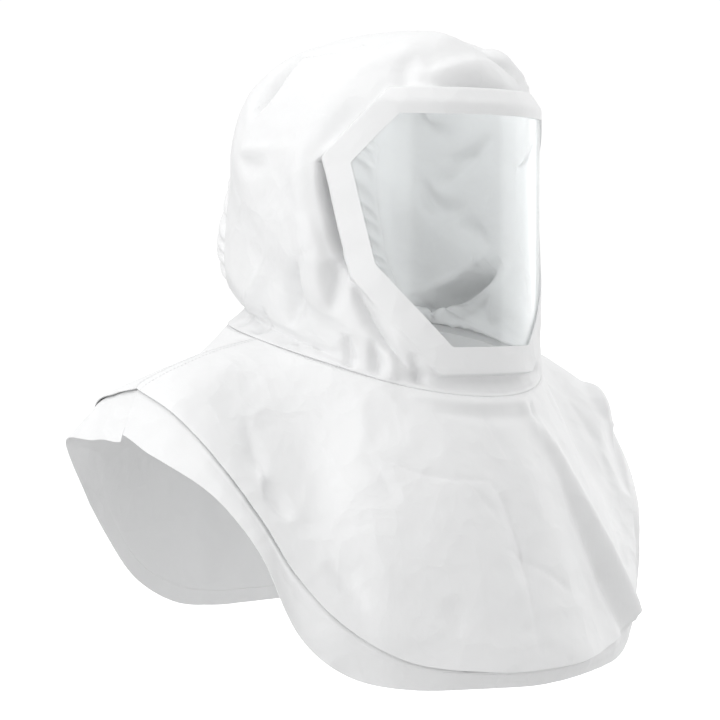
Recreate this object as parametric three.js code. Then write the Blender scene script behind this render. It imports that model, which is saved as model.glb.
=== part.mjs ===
// A loose-fitting respirator hood with a wide bonded visor and a double bib, as it hangs when worn.
// Millimetres, +Z up, the face looks along -Y and the wearer's left is +X.
// The origin is the point inside the crown that sits on the top of the head.
import * as THREE from "three";

// Driving dimensions
const FABRIC = 1.6; // wall of the coated fabric
const SEAM_GAP = 0.4; // clearance between neighbouring pieces
const LENS_THICKNESS = 1.0;
const LENS_GAP = 0.55; // between the sheet and the border, which both have flat facets
const LENS_RADIUS = 121; // the visor is a flat sheet bent about an upright axis
const LENS_AXIS_Y = -20;
const LENS_MARGIN = 8; // how far the sheet reaches behind the bonded border
const BORDER_WIDTH = 21; // smooth band of fabric round the window
const BORDER_LEAN = 0.65; // the band leans back to the crown above the sheet
const NECK_HALF_WIDTH = 128;
const NECK_HALF_LENGTH = 134;
const NECK_CENTRE_Y = -6;
const NECK_HEIGHT = -265; // middle of the neck seam below the crown
const NECK_TILT_DROP = 29; // the seam is this much lower at the throat and higher at the nape
const NECK_SADDLE = 12; // and this much higher over the shoulders
const NECK_LIFT = 1.7; // the hood's edge stands this far above the bib's edge
const BIB_CLEARANCE = 8; // air between the two bibs away from their seams
const GATHER_COUNT = 20; // gathers along the neck seam
const GATHER_DEPTH = 3;
const GATHER_REACH = 44; // how far the gathers run up the hood
const BACK_GAP = 0.75; // along the back panel's edges, which lean with its fullness
const BACK_BULGE = 7; // fullness of the gathered back panel
const PUCKER_COUNT = 5; // puckers up each edge of the back panel
const PUCKER_DEPTH = 2;

// Meshing
const BORDER_STOPS = [0, LENS_MARGIN + 1, BORDER_WIDTH]; // rows of the border's mesh
const BORDER_ROWS = BORDER_STOPS.length - 1;
const ROWS_PER_SECTION = 1.25;
const BACK_COLUMNS = [30, 50]; // block of the hood's mesh that the back panel takes
const BACK_ROWS = [13, 16];
const BACK_ROW_SPLIT = 5;
const BIB_MESH_COLUMNS = 32;
const BIB_MESH_ROWS = 7;
const LENS_STEP = 11;

const WHITE_FABRIC = {
  color: 0xf1f2f2,
  roughness: 0.6,
  metalness: 0,
  side: THREE.DoubleSide,
};
const CLEAR_SHEET = {
  color: 0xe8eef0,
  roughness: 0.06,
  metalness: 0,
  transparent: true,
  opacity: 0.3,
};

// Gives each row of a table its column names.
function table(columns, rows) {
  return rows.map((row) =>
    Object.fromEntries(columns.map((name, i) => [name, row[i]])),
  );
}

// Half of the window's outline on the flat sheet, from the bottom centre to the top centre.
const WINDOW_CORNERS = table(
  ["arc", "z", "steps"],
  [
    [0, -255.5, 0],
    [43.7, -255.5, 5],
    [106, -190, 10],
    [126, -109.5, 9],
    [87.2, -71, 6],
    [0, -71, 10],
  ],
);
const HALF_COLUMNS = WINDOW_CORNERS.reduce((sum, c) => sum + c.steps, 0);
const HOOD_COLUMNS = 2 * HALF_COLUMNS;

// Sections of the hood behind the border, as closed curves from the chin, round both sides, to the top.
// The bow pushes a section's sides back, windowShape says how far it still has the window's corners,
// and a roundness under 1 makes it fuller than an ellipse.
const HOOD_SECTIONS = table(
  ["topY", "topZ", "chinY", "chinZ", "halfWidth", "bow", "windowShape", "roundness"],
  [
    [-119, -31, -137, -277, 121, 78, 0.5, 1],
    [-92, -5, -137, -281, 124, 72, 0.25, 0.95],
    [-50, 1, -137, -283, 125, 62, 0.1, 0.88],
    [0, 1, -137, -284, 125, 50, 0, 0.84],
    [48, -5, -137, -285, 124, 38, 0, 0.82],
    [86, -21, -137, -286, 122, 28, 0, 0.82],
    [109, -46, -137, -287, 119, 22, 0, 0.88],
    [122, -80, -137, -288, 117, 17, 0, 0.94],
    [137, -120, -137, -289, 117, 12, 0, 0.97],
    [149, -158, -137, -290, 115, 6, 0, 0.97],
    [142, -190, -138, -291, 111, 0, 0, 0.97],
    [119, -218, -139, -292, 112, -6, 0, 1],
    [128, -236, -140, -294, 128, -12, 0, 1],
  ],
);

// Half of each bib, from its middle to the shoulder seam: a line of cloth runs from the neck seam, over
// a break on the body, to the outer bib's hem and on to the inner bib's lower hem.
const BIB_COLUMNS = [
  ["neckAngle", "breakX", "breakY", "breakZ"],
  ["hemX", "hemY", "hemZ", "lowX", "lowY", "lowZ"],
].flat();
const SHOULDER_SEAM = [96, 184, 10, -262, 242, 17, -287, 256, 16, -323];
const FRONT_BIB = table(BIB_COLUMNS, [
  [0, 0, -172, -376, 0, -198, -508, 0, -194, -522],
  [16, 46, -166, -374, 54, -192, -506, 51, -189, -520],
  [32, 90, -146, -366, 119, -169, -495, 117, -168, -515],
  [46, 124, -116, -355, 162, -142, -467, 161, -144, -501],
  [58, 141, -85, -343, 190, -117, -428, 190, -121, -470],
  [69, 156, -64, -326, 207, -95, -385, 212, -101, -410],
  [79, 172, -41, -301, 225, -66, -342, 232, -71, -366],
  [88, 182, -14, -276, 238, -28, -307, 250, -28, -338],
  SHOULDER_SEAM,
]);
const BACK_BIB = table(BIB_COLUMNS, [
  [180, 0, 152, -330, 0, 160, -470, 0, 164, -486],
  [162, 48, 150, -328, 56, 158, -468, 58, 162, -485],
  [146, 94, 140, -322, 104, 150, -457, 104, 157, -476],
  [132, 134, 126, -314, 150, 138, -432, 152, 146, -450],
  [121, 158, 108, -304, 188, 124, -390, 192, 130, -411],
  [112, 174, 88, -292, 215, 108, -346, 226, 112, -370],
  [105, 182, 60, -278, 233, 84, -304, 250, 100, -332],
  [100, 184, 34, -268, 239, 50, -293, 255, 56, -329],
  SHOULDER_SEAM,
]);

// Folds: three points along the cloth, the fold's half width and its depth, which is negative for a
// valley. A twin is the share of the depth that the fold's mirror image has.
const FOLD_COLUMNS = [
  ["ax", "ay", "az", "bx", "by", "bz", "cx", "cy", "cz"],
  ["width", "depth", "twin"],
].flat();
const HOOD_FOLDS = table(FOLD_COLUMNS, [
  [-115, -62, -95, -120, -52, -150, -110, -66, -215, 11, -9, 0.8],
  [-123, -36, -100, -125, -28, -150, -121, -42, -205, 14, 5, 0.8],
  [-100, -86, -205, -86, -98, -241, -72, -109, -263, 9, -6, 0.8],
  [-122, -38, -189, -118, -24, -222, -122, -30, -250, 10, -5, 0.7],
  [-122, -3, -170, -119, 5, -203, -106, 36, -229, 14, 4, 0.8],
  [-103, 33, -57, -92, 32, -36, -79, 18, -25, 11, -7, 0.5],
  [-115, 38, -95, -123, -5, -103, -121, -50, -100, 11, -4, 0.6],
  [-66, -94, -30, -70, -110, -42, -73, -119, -52, 10, -5, 0.6],
  [26, -108, -24, 32, -120, -36, 32, -134, -50, 10, -3, 0.6],
  [-55, -112, -40, -20, -122, -36, 20, -118, -36, 10, -3, 0],
]);
const BIB_FOLDS = table(FOLD_COLUMNS, [
  [-149, -1, -258, -124, -50, -268, -102, -92, -288, 14, 3, 0.6],
  [-102, -92, -288, -98, -110, -306, -96, -122, -325, 14, 4, 0.6],
  [47, -147, -329, 97, -152, -395, 140, -154, -472, 28, 4, 0],
  [25, -162, -350, 52, -176, -423, 78, -182, -497, 20, -6, 0],
  [-44, -161, -357, -25, -182, -427, -4, -196, -505, 18, -3, 0],
  [-110, -120, -350, -130, -140, -410, -125, -160, -490, 30, 4, 0.6],
  [60, 150, -280, 70, 156, -360, 66, 158, -468, 24, 4, 1],
]);

const mix = (a, b, f) => a + (b - a) * f;
const smooth = (f) => {
  const x = Math.min(Math.max(f, 0), 1);
  return x * x * (3 - 2 * x);
};

// A smooth value through one column of a table at a fractional row. A mirror sign says how the
// column continues before the first row: 1 for even columns and -1 for odd ones.
function through(rows, column, position, mirror = 0) {
  const last = rows.length - 1;
  const k = Math.min(Math.max(Math.floor(position), 0), last - 1);
  const value = (i) => {
    if (i < 0 && mirror) return mirror * rows[-i][column];
    if (i < 0) return 2 * rows[0][column] - rows[1][column];
    if (i > last) return 2 * rows[last][column] - rows[last - 1][column];
    return rows[i][column];
  };
  const [a, b, c, d] = [value(k - 1), value(k), value(k + 1), value(k + 2)];
  const f = position - k;
  const cubic = 3 * (b - c) + d - a;
  const square = 2 * a - 5 * b + 4 * c - d;
  return b + 0.5 * f * (c - a + f * (square + f * cubic));
}

// The window's corners moved outwards by a distance on the flat sheet.
function movedCorners(distance) {
  const normals = WINDOW_CORNERS.slice(1).map((c, i) => {
    const from = WINDOW_CORNERS[i];
    const length = Math.hypot(c.arc - from.arc, c.z - from.z);
    return [(c.z - from.z) / length, -(c.arc - from.arc) / length];
  });
  return WINDOW_CORNERS.map((c, i) => {
    const [ax, az] = normals[Math.max(i - 1, 0)];
    const [bx, bz] = normals[Math.min(i, normals.length - 1)];
    const share = distance / (1 + ax * bx + az * bz);
    return { ...c, arc: c.arc + (ax + bx) * share, z: c.z + (az + bz) * share };
  });
}

// Folds a column of the hood's mesh to one side: how far it is from the chin, and on which side.
function halved(column) {
  const wrapped = ((column % HOOD_COLUMNS) + HOOD_COLUMNS) % HOOD_COLUMNS;
  if (wrapped <= HALF_COLUMNS) return { along: wrapped, side: 1 };
  return { along: HOOD_COLUMNS - wrapped, side: -1 };
}

// A point of the window's outline, moved outwards by a distance, at a column.
function outline(column, distance) {
  const { along, side } = halved(column);
  const corners = movedCorners(distance);
  let left = along;
  let i = 1;
  while (i < corners.length - 1 && left > corners[i].steps) {
    left -= corners[i].steps;
    i += 1;
  }
  const f = left / corners[i].steps;
  return {
    arc: side * mix(corners[i - 1].arc, corners[i].arc, f),
    z: mix(corners[i - 1].z, corners[i].z, f),
  };
}

// A point of the flat sheet after it is bent, at a radius from the upright axis.
function bent({ arc, z }, radius) {
  const turn = arc / LENS_RADIUS;
  return new THREE.Vector3(
    radius * Math.sin(turn),
    LENS_AXIS_Y - radius * Math.cos(turn),
    z,
  );
}

// The smooth band round the window, a distance out from the window's edge.
function borderPoint(column, distance) {
  const flat = outline(column, distance);
  const above = flat.z - WINDOW_CORNERS[5].z - BORDER_STOPS[1];
  return bent(flat, LENS_RADIUS - BORDER_LEAN * Math.max(above, 0));
}

// How far round a hood section a column stands, from 0 at the chin to PI at the top.
const COLUMN_ANGLES = (() => {
  const points = [];
  for (let k = 0; k <= HALF_COLUMNS; k += 1)
    points.push(outline(k, BORDER_WIDTH));
  const lengths = points.map((p, k) =>
    k ? Math.hypot(p.arc - points[k - 1].arc, p.z - points[k - 1].z) : 0,
  );
  const total = lengths.reduce((sum, x) => sum + x, 0);
  let run = 0;
  return lengths.map((x) => {
    run += x;
    return (Math.PI * run) / total;
  });
})();
function columnAngle(column) {
  const { along, side } = halved(column);
  const k = Math.min(Math.floor(along), HALF_COLUMNS - 1);
  return side * mix(COLUMN_ANGLES[k], COLUMN_ANGLES[k + 1], along - k);
}

// The neck seam at an angle round the neck, from 0 at the throat to PI at the nape.
function neckSeam(angle) {
  const c = Math.cos(angle);
  const s = Math.sin(angle);
  return new THREE.Vector3(
    NECK_HALF_WIDTH * s,
    NECK_CENTRE_Y - NECK_HALF_LENGTH * c,
    NECK_HEIGHT - NECK_TILT_DROP * c + NECK_SADDLE * s * s,
  );
}

// One hood section at a fractional row of its table.
function sectionPoint(column, position) {
  const at = (name) => through(HOOD_SECTIONS, name, position);
  const angle = columnAngle(column);
  const corner = outline(column, BORDER_WIDTH);
  const widest = WINDOW_CORNERS[3].arc + BORDER_WIDTH;
  const low = WINDOW_CORNERS[0].z - BORDER_WIDTH;
  const high = WINDOW_CORNERS[5].z + BORDER_WIDTH;
  const cornerUp = (2 * corner.z - low - high) / (high - low);
  const shape = Math.max(at("windowShape"), 0);
  const full = (x) => Math.sign(x) * Math.abs(x) ** at("roundness");
  const across = mix(full(Math.sin(angle)), corner.arc / widest, shape);
  const up = mix(-full(Math.cos(angle)), cornerUp, shape);
  const halfY = (at("topY") - at("chinY")) / 2;
  const halfZ = (at("topZ") - at("chinZ")) / 2;
  const push = (at("bow") * across * across) / Math.hypot(halfY, halfZ);
  const point = new THREE.Vector3(
    at("halfWidth") * across,
    at("chinY") + halfY * (1 + up) + halfZ * push,
    at("chinZ") + halfZ * (1 + up) - halfY * push,
  );
  const last = HOOD_SECTIONS.length - 1;
  const seam = neckSeam(angle);
  seam.z += NECK_LIFT;
  return point.lerp(seam, smooth(position - last + 1));
}

// The hood's cloth: the first rows lie on the visor, and the rest pass through the sections.
const HOOD_ROWS =
  BORDER_ROWS + Math.round(HOOD_SECTIONS.length * ROWS_PER_SECTION);
function hoodPoint(column, row) {
  if (row <= BORDER_ROWS) {
    const k = Math.min(Math.floor(row), BORDER_ROWS - 1);
    return borderPoint(column, mix(BORDER_STOPS[k], BORDER_STOPS[k + 1], row - k));
  }
  const last = HOOD_SECTIONS.length - 1;
  const steps = HOOD_ROWS - BORDER_ROWS;
  const position = ((row - BORDER_ROWS) / steps) * (last + 1) - 1;
  if (position >= 0) return sectionPoint(column, position);
  const edge = borderPoint(column, BORDER_WIDTH);
  return edge.lerp(sectionPoint(column, 0), position + 1);
}

// A line of bib cloth at a position across its table: 0 is the neck seam, 1 the break, 2 the outer
// bib's hem and 3 the inner bib's. The panel's seam edge keeps half of the seam's clearance.
function bibPoint(rows, across, place) {
  const last = rows.length - 1;
  const position = Math.abs(across) * last;
  const side = Math.sign(across) || 1;
  const start = rows[0].neckAngle;
  const turns = rows.map((row) => ({ turn: row.neckAngle - start }));
  const angle = start + through(turns, "turn", position, -1);
  const neck = neckSeam(THREE.MathUtils.degToRad(angle));
  const at = (name, mirror) => through(rows, name, position, mirror);
  const line = ["break", "hem", "low"].map((stop) => ({
    x: at(`${stop}X`, -1),
    y: at(`${stop}Y`, 1),
    z: at(`${stop}Z`, 1),
  }));
  line.unshift(neck);
  const apart = Math.max(position - last + 1, 0) * (SEAM_GAP / 2);
  return new THREE.Vector3(
    side * through(line, "x", place),
    through(line, "y", place) + (start > 90 ? apart : -apart),
    through(line, "z", place),
  );
}

// The height of a table of folds at a point of the cloth.
function foldHeight(folds, point) {
  const foot = new THREE.Vector3();
  const line = new THREE.Line3();
  let height = 0;
  for (const fold of folds) {
    for (const side of fold.twin ? [1, -1] : [1]) {
      const a = new THREE.Vector3(side * fold.ax, fold.ay, fold.az);
      const b = new THREE.Vector3(side * fold.bx, fold.by, fold.bz);
      const c = new THREE.Vector3(side * fold.cx, fold.cy, fold.cz);
      const away = [[a, b], [b, c]].map(([from, to]) => {
        line.set(from, to).closestPointToPoint(point, true, foot);
        return foot.distanceTo(point);
      });
      const share = side > 0 ? 1 : fold.twin;
      const near = Math.min(...away) / fold.width;
      height += share * fold.depth * Math.exp(-near * near);
    }
  }
  return height;
}

// Folds and neck gathers of the hood. The border and the neck seam stay smooth.
function hoodHeight(point, row) {
  const free =
    smooth((row - BORDER_ROWS) / 2) * smooth((HOOD_ROWS - row) / 1.5);
  const angle = Math.atan2(point.x, NECK_CENTRE_Y - point.y);
  const above = point.z - neckSeam(angle).z;
  const reach = smooth(above / 9) * (1 - smooth(above / GATHER_REACH));
  const sides = Math.sin(angle) ** 2;
  const gathers = GATHER_DEPTH * Math.cos(GATHER_COUNT * angle) * reach * sides;
  return (foldHeight(HOOD_FOLDS, point) + gathers) * free;
}

// A closed wall of even thickness over a mesh of cloth points, raised by a height along its normals,
// which point to the outside where the columns and the rows make a right-handed pair from there.
// The edges of a panel with upright seams move only within the seams' plane.
function clothWall({ columns, rows, closed, pointAt, heightAt, isKept, uprightSeams }) {
  const wide = closed ? columns : columns + 1;
  const index = (i, j) => (closed ? (i + columns) % columns : i) + j * wide;
  const meshNormals = (points) => {
    const normals = [];
    const clampI = (i) => (closed ? i : Math.min(Math.max(i, 0), columns));
    const clampJ = (j) => Math.min(Math.max(j, 0), rows);
    for (let j = 0; j <= rows; j += 1)
      for (let i = 0; i < wide; i += 1) {
        const along = points[index(clampI(i + 1), j)].clone();
        along.sub(points[index(clampI(i - 1), j)]);
        const down = points[index(i, clampJ(j + 1))].clone();
        down.sub(points[index(i, clampJ(j - 1))]);
        const normal = along.cross(down);
        if (uprightSeams && (i === 0 || i === columns)) normal.y = 0;
        normals.push(normal.normalize());
      }
    return normals;
  };
  const cloth = [];
  for (let j = 0; j <= rows; j += 1)
    for (let i = 0; i < wide; i += 1) cloth.push(pointAt(i, j));
  const heights = cloth.map((p, k) =>
    heightAt(p, k % wide, Math.floor(k / wide)),
  );
  meshNormals(cloth).forEach((n, k) => cloth[k].addScaledVector(n, heights[k]));
  const normals = meshNormals(cloth);
  const count = cloth.length;
  const positions = [];
  for (const side of [0.5, -0.5])
    cloth.forEach((p, k) => {
      const q = p.clone().addScaledVector(normals[k], side * FABRIC);
      positions.push(q.x, q.y, q.z);
    });
  const triangles = [];
  const edges = new Map();
  for (let j = 0; j < rows; j += 1)
    for (let i = 0; i < columns; i += 1) {
      if (isKept && !isKept(i, j)) continue;
      const loop = [index(i, j), index(i + 1, j), index(i + 1, j + 1), index(i, j + 1)];
      const [a, b, c, d] = loop;
      triangles.push(a, b, c, a, c, d);
      triangles.push(c + count, b + count, a + count);
      triangles.push(d + count, c + count, a + count);
      loop.forEach((from, k) => edges.set(`${from} ${loop[(k + 1) % 4]}`, [from, loop[(k + 1) % 4]]));
    }
  for (const [from, to] of edges.values())
    if (!edges.has(`${to} ${from}`)) {
      triangles.push(to, from, from + count);
      triangles.push(to, from + count, to + count);
    }
  const geometry = new THREE.BufferGeometry();
  geometry.setAttribute("position", new THREE.Float32BufferAttribute(positions, 3));
  geometry.setIndex(triangles);
  geometry.computeVertexNormals();
  return geometry;
}

// The hood without the block that the back panel fills
function hoodGeometry() {
  const inBlock = (i, j) =>
    i >= BACK_COLUMNS[0] &&
    i < BACK_COLUMNS[1] &&
    j >= BACK_ROWS[0] &&
    j < BACK_ROWS[1];
  return clothWall({
    columns: HOOD_COLUMNS,
    rows: HOOD_ROWS,
    closed: true,
    pointAt: (i, j) => hoodPoint(-i, j),
    heightAt: (p, i, j) => hoodHeight(p, j),
    isKept: (i, j) => !inBlock(i, j),
  });
}

// The back panel, full in its middle and puckered along both gathered edges
function backGeometry() {
  const columns = BACK_COLUMNS[1] - BACK_COLUMNS[0];
  const rows = (BACK_ROWS[1] - BACK_ROWS[0]) * BACK_ROW_SPLIT;
  const stepAcross = hoodPoint(HALF_COLUMNS, BACK_ROWS[0]).distanceTo(
    hoodPoint(HALF_COLUMNS + 1, BACK_ROWS[0]),
  );
  const stepDown = hoodPoint(HALF_COLUMNS, BACK_ROWS[0]).distanceTo(
    hoodPoint(HALF_COLUMNS, BACK_ROWS[0] + 1),
  );
  const insetColumn = BACK_GAP / stepAcross;
  const insetRow = BACK_GAP / stepDown;
  const inside = (value, [from, to], inset) =>
    Math.min(Math.max(value, from + inset), to - inset);
  return clothWall({
    columns,
    rows,
    closed: false,
    pointAt: (i, j) =>
      hoodPoint(
        inside(BACK_COLUMNS[1] - i, BACK_COLUMNS, insetColumn),
        inside(BACK_ROWS[0] + j / BACK_ROW_SPLIT, BACK_ROWS, insetRow),
      ),
    heightAt: (p, i, j) => {
      const u = i / columns;
      const v = j / rows;
      const full = Math.sin(Math.PI * u) * Math.sin(Math.PI * v);
      const fromEdge = Math.min(u, 1 - u) * columns;
      const edge = smooth(fromEdge / 1.5) * (1 - smooth((fromEdge - 1) / 5));
      const pucker = Math.cos(2 * Math.PI * PUCKER_COUNT * v) * edge;
      const ends = smooth(v * 8) * smooth((1 - v) * 8);
      return BACK_BULGE * full + PUCKER_DEPTH * pucker * ends;
    },
  });
}

// One bib panel. The inner bib lies under the outer one and hangs lower.
function bibGeometry(rows, isInner) {
  const meshRows = BIB_MESH_ROWS + (isInner ? 1 : 0);
  const placeAt = (j) => (j > BIB_MESH_ROWS ? 3 : (2 * j) / BIB_MESH_ROWS);
  const facing = rows === FRONT_BIB ? -1 : 1;
  const acrossAt = (i) => facing * ((2 * i) / BIB_MESH_COLUMNS - 1);
  const seated = FABRIC + SEAM_GAP;
  return clothWall({
    columns: BIB_MESH_COLUMNS,
    rows: meshRows,
    closed: false,
    uprightSeams: true,
    pointAt: (i, j) => bibPoint(rows, acrossAt(i), placeAt(j)),
    heightAt: (p, i, j) => {
      const place = placeAt(j);
      const free = smooth(place / 0.5);
      const under = mix(seated, BIB_CLEARANCE, smooth(place / 0.8));
      const hidden = isInner ? under * (1 - smooth(place - 2)) : 0;
      const seam = Math.abs(acrossAt(i));
      const folds = foldHeight(BIB_FOLDS, p) * free * smooth((1 - seam) * 8);
      return folds - hidden;
    },
  });
}

// The visor sheet: upright strips between the lower and the upper half of its outline
function lensGeometry() {
  const corners = movedCorners(LENS_MARGIN);
  const widest = corners.reduce((k, c, i) => (c.arc > corners[k].arc ? i : k), 0);
  const lower = corners.slice(0, widest + 1);
  const upper = corners.slice(widest).reverse();
  const heightAt = (chain, arc) => {
    const i = Math.max(chain.findIndex((c) => c.arc >= arc - 1e-9), 1);
    const [from, to] = [chain[i - 1], chain[i]];
    return mix(from.z, to.z, (arc - from.arc) / (to.arc - from.arc));
  };
  const stops = new Set([0]);
  const turns = corners.map((c) => c.arc).sort((a, b) => a - b);
  for (let k = 1; k < turns.length; k += 1) {
    const pieces = Math.max(Math.round((turns[k] - turns[k - 1]) / LENS_STEP), 1);
    for (let s = 1; s <= pieces; s += 1)
      stops.add(mix(turns[k - 1], turns[k], s / pieces));
  }
  const half = [...stops].sort((a, b) => a - b);
  const arcs = [...half.slice(1).reverse().map((a) => -a), ...half];
  const outside = LENS_RADIUS - FABRIC / 2 - LENS_GAP;
  const positions = [];
  for (const arc of arcs)
    for (const radius of [outside, outside - LENS_THICKNESS])
      for (const chain of [lower, upper])
        positions.push(...bent({ arc, z: heightAt(chain, Math.abs(arc)) }, radius));
  const triangles = [];
  const face = (a, b, c, d) => triangles.push(a, b, c, a, c, d);
  for (let k = 0; k < arcs.length - 1; k += 1) {
    const [outLow, outHigh, inLow, inHigh] = [0, 1, 2, 3].map((n) => 4 * k + n);
    face(outLow, outLow + 4, outHigh + 4, outHigh);
    face(inLow, inHigh, inHigh + 4, inLow + 4);
    face(outHigh, outHigh + 4, inHigh + 4, inHigh);
    face(outLow, inLow, inLow + 4, outLow + 4);
  }
  const same = (a, b) =>
    [0, 1, 2].every((n) => Math.abs(positions[3 * a + n] - positions[3 * b + n]) < 1e-6);
  const kept = [];
  for (let t = 0; t < triangles.length; t += 3) {
    const [a, b, c] = triangles.slice(t, t + 3);
    if (!same(a, b) && !same(b, c) && !same(a, c)) kept.push(a, b, c);
  }
  const geometry = new THREE.BufferGeometry();
  geometry.setAttribute("position", new THREE.Float32BufferAttribute(positions, 3));
  geometry.setIndex(kept);
  geometry.computeVertexNormals();
  return geometry;
}

const hood = new THREE.Group();
function add(name, geometry, look) {
  const mesh = new THREE.Mesh(geometry, new THREE.MeshStandardMaterial(look));
  mesh.name = name;
  hood.add(mesh);
}
add("hood_main", hoodGeometry(), WHITE_FABRIC);
add("back_panel", backGeometry(), WHITE_FABRIC);
add("visor", lensGeometry(), CLEAR_SHEET);
add("outer_bib_front", bibGeometry(FRONT_BIB, false), WHITE_FABRIC);
add("outer_bib_back", bibGeometry(BACK_BIB, false), WHITE_FABRIC);
add("inner_bib_front", bibGeometry(FRONT_BIB, true), WHITE_FABRIC);
add("inner_bib_back", bibGeometry(BACK_BIB, true), WHITE_FABRIC);

export default hood;
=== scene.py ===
"""A white respirator hood with a clear visor and a double bib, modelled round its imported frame.

The file is laid out as an add-on, and the sidebar's panel lists an operator for each group of pieces.
Shape tables are in millimetres in the part's own frame, and finished meshes are in metres.
"""
import math
from collections import namedtuple

import bmesh
import bpy
import numpy as np
from bpy.props import FloatProperty, FloatVectorProperty, PointerProperty
from bpy.types import Operator, Panel, PropertyGroup
from mathutils import Matrix, Vector, noise


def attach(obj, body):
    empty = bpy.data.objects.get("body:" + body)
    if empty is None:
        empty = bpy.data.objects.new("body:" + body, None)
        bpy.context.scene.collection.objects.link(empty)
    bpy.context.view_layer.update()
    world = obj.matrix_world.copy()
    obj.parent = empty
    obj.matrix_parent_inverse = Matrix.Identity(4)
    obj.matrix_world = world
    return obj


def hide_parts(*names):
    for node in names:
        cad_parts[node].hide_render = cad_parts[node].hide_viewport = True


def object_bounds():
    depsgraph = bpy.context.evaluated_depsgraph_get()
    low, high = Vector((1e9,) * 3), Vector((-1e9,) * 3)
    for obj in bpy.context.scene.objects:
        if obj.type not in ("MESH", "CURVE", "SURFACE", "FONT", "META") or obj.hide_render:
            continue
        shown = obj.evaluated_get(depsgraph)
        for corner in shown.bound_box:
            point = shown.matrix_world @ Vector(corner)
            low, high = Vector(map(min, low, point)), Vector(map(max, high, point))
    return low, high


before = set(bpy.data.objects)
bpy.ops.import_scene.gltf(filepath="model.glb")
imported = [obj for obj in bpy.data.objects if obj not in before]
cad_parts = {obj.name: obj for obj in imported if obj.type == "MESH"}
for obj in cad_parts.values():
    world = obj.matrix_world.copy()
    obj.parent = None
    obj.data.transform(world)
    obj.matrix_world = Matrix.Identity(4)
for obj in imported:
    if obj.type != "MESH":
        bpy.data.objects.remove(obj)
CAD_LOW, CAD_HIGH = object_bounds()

bl_info = {
    "name": "Respirator Hood",
    "version": (1, 0, 0),
    "blender": (4, 5, 0),
    "location": "View3D > Sidebar > Hood",
    "description": "Builds a white respirator hood with a clear visor and a double bib",
    "category": "Add Mesh",
}

MM = 0.001


def columns(names, rows):
    """A table's columns by name."""
    return dict(zip(names.split(), np.array(rows, float).T))


# Visor and the smooth band of fabric that is bonded round its window
LENS_RADIUS = 121.0
LENS_AXIS_Y = -20.0
LENS_MARGIN = 8.0
BORDER_WIDTH = 21.0
BORDER_LEAN = 0.65

# Half of the window's outline on the flat sheet, from the bottom centre to the top centre
WINDOW = columns(
    "arc z steps",
    [
        (0, -255.5, 0),
        (43.7, -255.5, 5),
        (106, -190, 10),
        (126, -109.5, 9),
        (87.2, -71, 6),
        (0, -71, 10),
    ],
)
WINDOW_STOPS = np.cumsum(WINDOW["steps"])
HALF_COLUMNS = WINDOW_STOPS[-1]
HOOD_COLUMNS = 2 * HALF_COLUMNS
WINDOW_LOW = WINDOW["z"][0]
WINDOW_HIGH = WINDOW["z"][-1]

# Sections of the hood behind the border, as closed curves from the chin, round both sides, to the top.
# The bow pushes a section's sides back, window_shape says how far it still has the window's corners,
# and a roundness under 1 makes it fuller than an ellipse.
SECTIONS = columns(
    "top_y top_z chin_y chin_z half_width bow window_shape roundness",
    [
        (-119, -31, -137, -277, 121, 78, 0.5, 1),
        (-92, -5, -137, -281, 124, 72, 0.25, 0.95),
        (-50, 1, -137, -283, 125, 62, 0.1, 0.88),
        (0, 1, -137, -284, 125, 50, 0, 0.84),
        (48, -5, -137, -285, 124, 38, 0, 0.82),
        (86, -21, -137, -286, 122, 28, 0, 0.82),
        (109, -46, -137, -287, 119, 22, 0, 0.88),
        (122, -80, -137, -288, 117, 17, 0, 0.94),
        (137, -120, -137, -289, 117, 12, 0, 0.97),
        (149, -158, -137, -290, 115, 6, 0, 0.97),
        (142, -190, -138, -291, 111, 0, 0, 0.97),
        (119, -218, -139, -292, 112, -6, 0, 1),
        (128, -236, -140, -294, 128, -12, 0, 1),
    ],
)
LAST_SECTION = len(SECTIONS["bow"]) - 1
SECTION_ROWS = 16.0
BACK_COLUMNS = (30.0, 50.0)
BACK_ROWS = (9.0, 13.3)
BACK_SPREAD = 3.2
BACK_SPREAD_REACH = 26.0

# Columns between which the sections take over from the short cloth below the visor
APRON_COLUMNS = (9.0, 21.0)

# Neck seam, an oval that tilts down to the throat and rises over the shoulders
NECK_HALF_WIDTH = 128.0
NECK_HALF_LENGTH = 134.0
NECK_CENTRE_Y = -6.0
NECK_HEIGHT = -265.0
NECK_TILT_DROP = 29.0
NECK_SADDLE = 12.0

# The hood's hem over the neck seam: its height at the throat, its rise round the sides of the neck with
# the angle where that starts and its span, and how far its edge is tucked in and down
HEM_AT_THROAT = -1.4
HEM_RISE = 2.0
HEM_RISE_STEP = (0.6, 0.6)
TUCK_IN = 4.8
TUCK_DROP = 6.0

# Where on the hood's cloth the border ends, and where the edge tucked into the neck seam starts
BORDER_SHARE = 0.06
TUCK_START = 0.972

# Half of each bib, from its middle to the shoulder seam: a line of cloth runs from the neck seam, over
# a break on the body, to the outer bib's hem and on to the inner bib's lower hem.
BIB_NAMES = "neck_angle break_x break_y break_z hem_x hem_y hem_z low_x low_y low_z"
SHOULDER_SEAM = (96, 184, 10, -262, 242, 17, -287, 256, 16, -323)
FRONT_BIB = columns(
    BIB_NAMES,
    [
        (0, 0, -172, -376, 0, -198, -508, 0, -194, -522),
        (16, 46, -166, -374, 54, -192, -506, 51, -189, -520),
        (32, 90, -146, -366, 119, -169, -495, 117, -168, -515),
        (46, 124, -116, -355, 162, -142, -467, 161, -144, -501),
        (58, 141, -85, -343, 190, -117, -428, 190, -121, -470),
        (69, 156, -64, -326, 207, -95, -385, 212, -101, -410),
        (79, 172, -41, -301, 225, -66, -342, 232, -71, -366),
        (88, 182, -14, -276, 238, -28, -307, 250, -28, -338),
        SHOULDER_SEAM,
    ],
)
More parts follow.
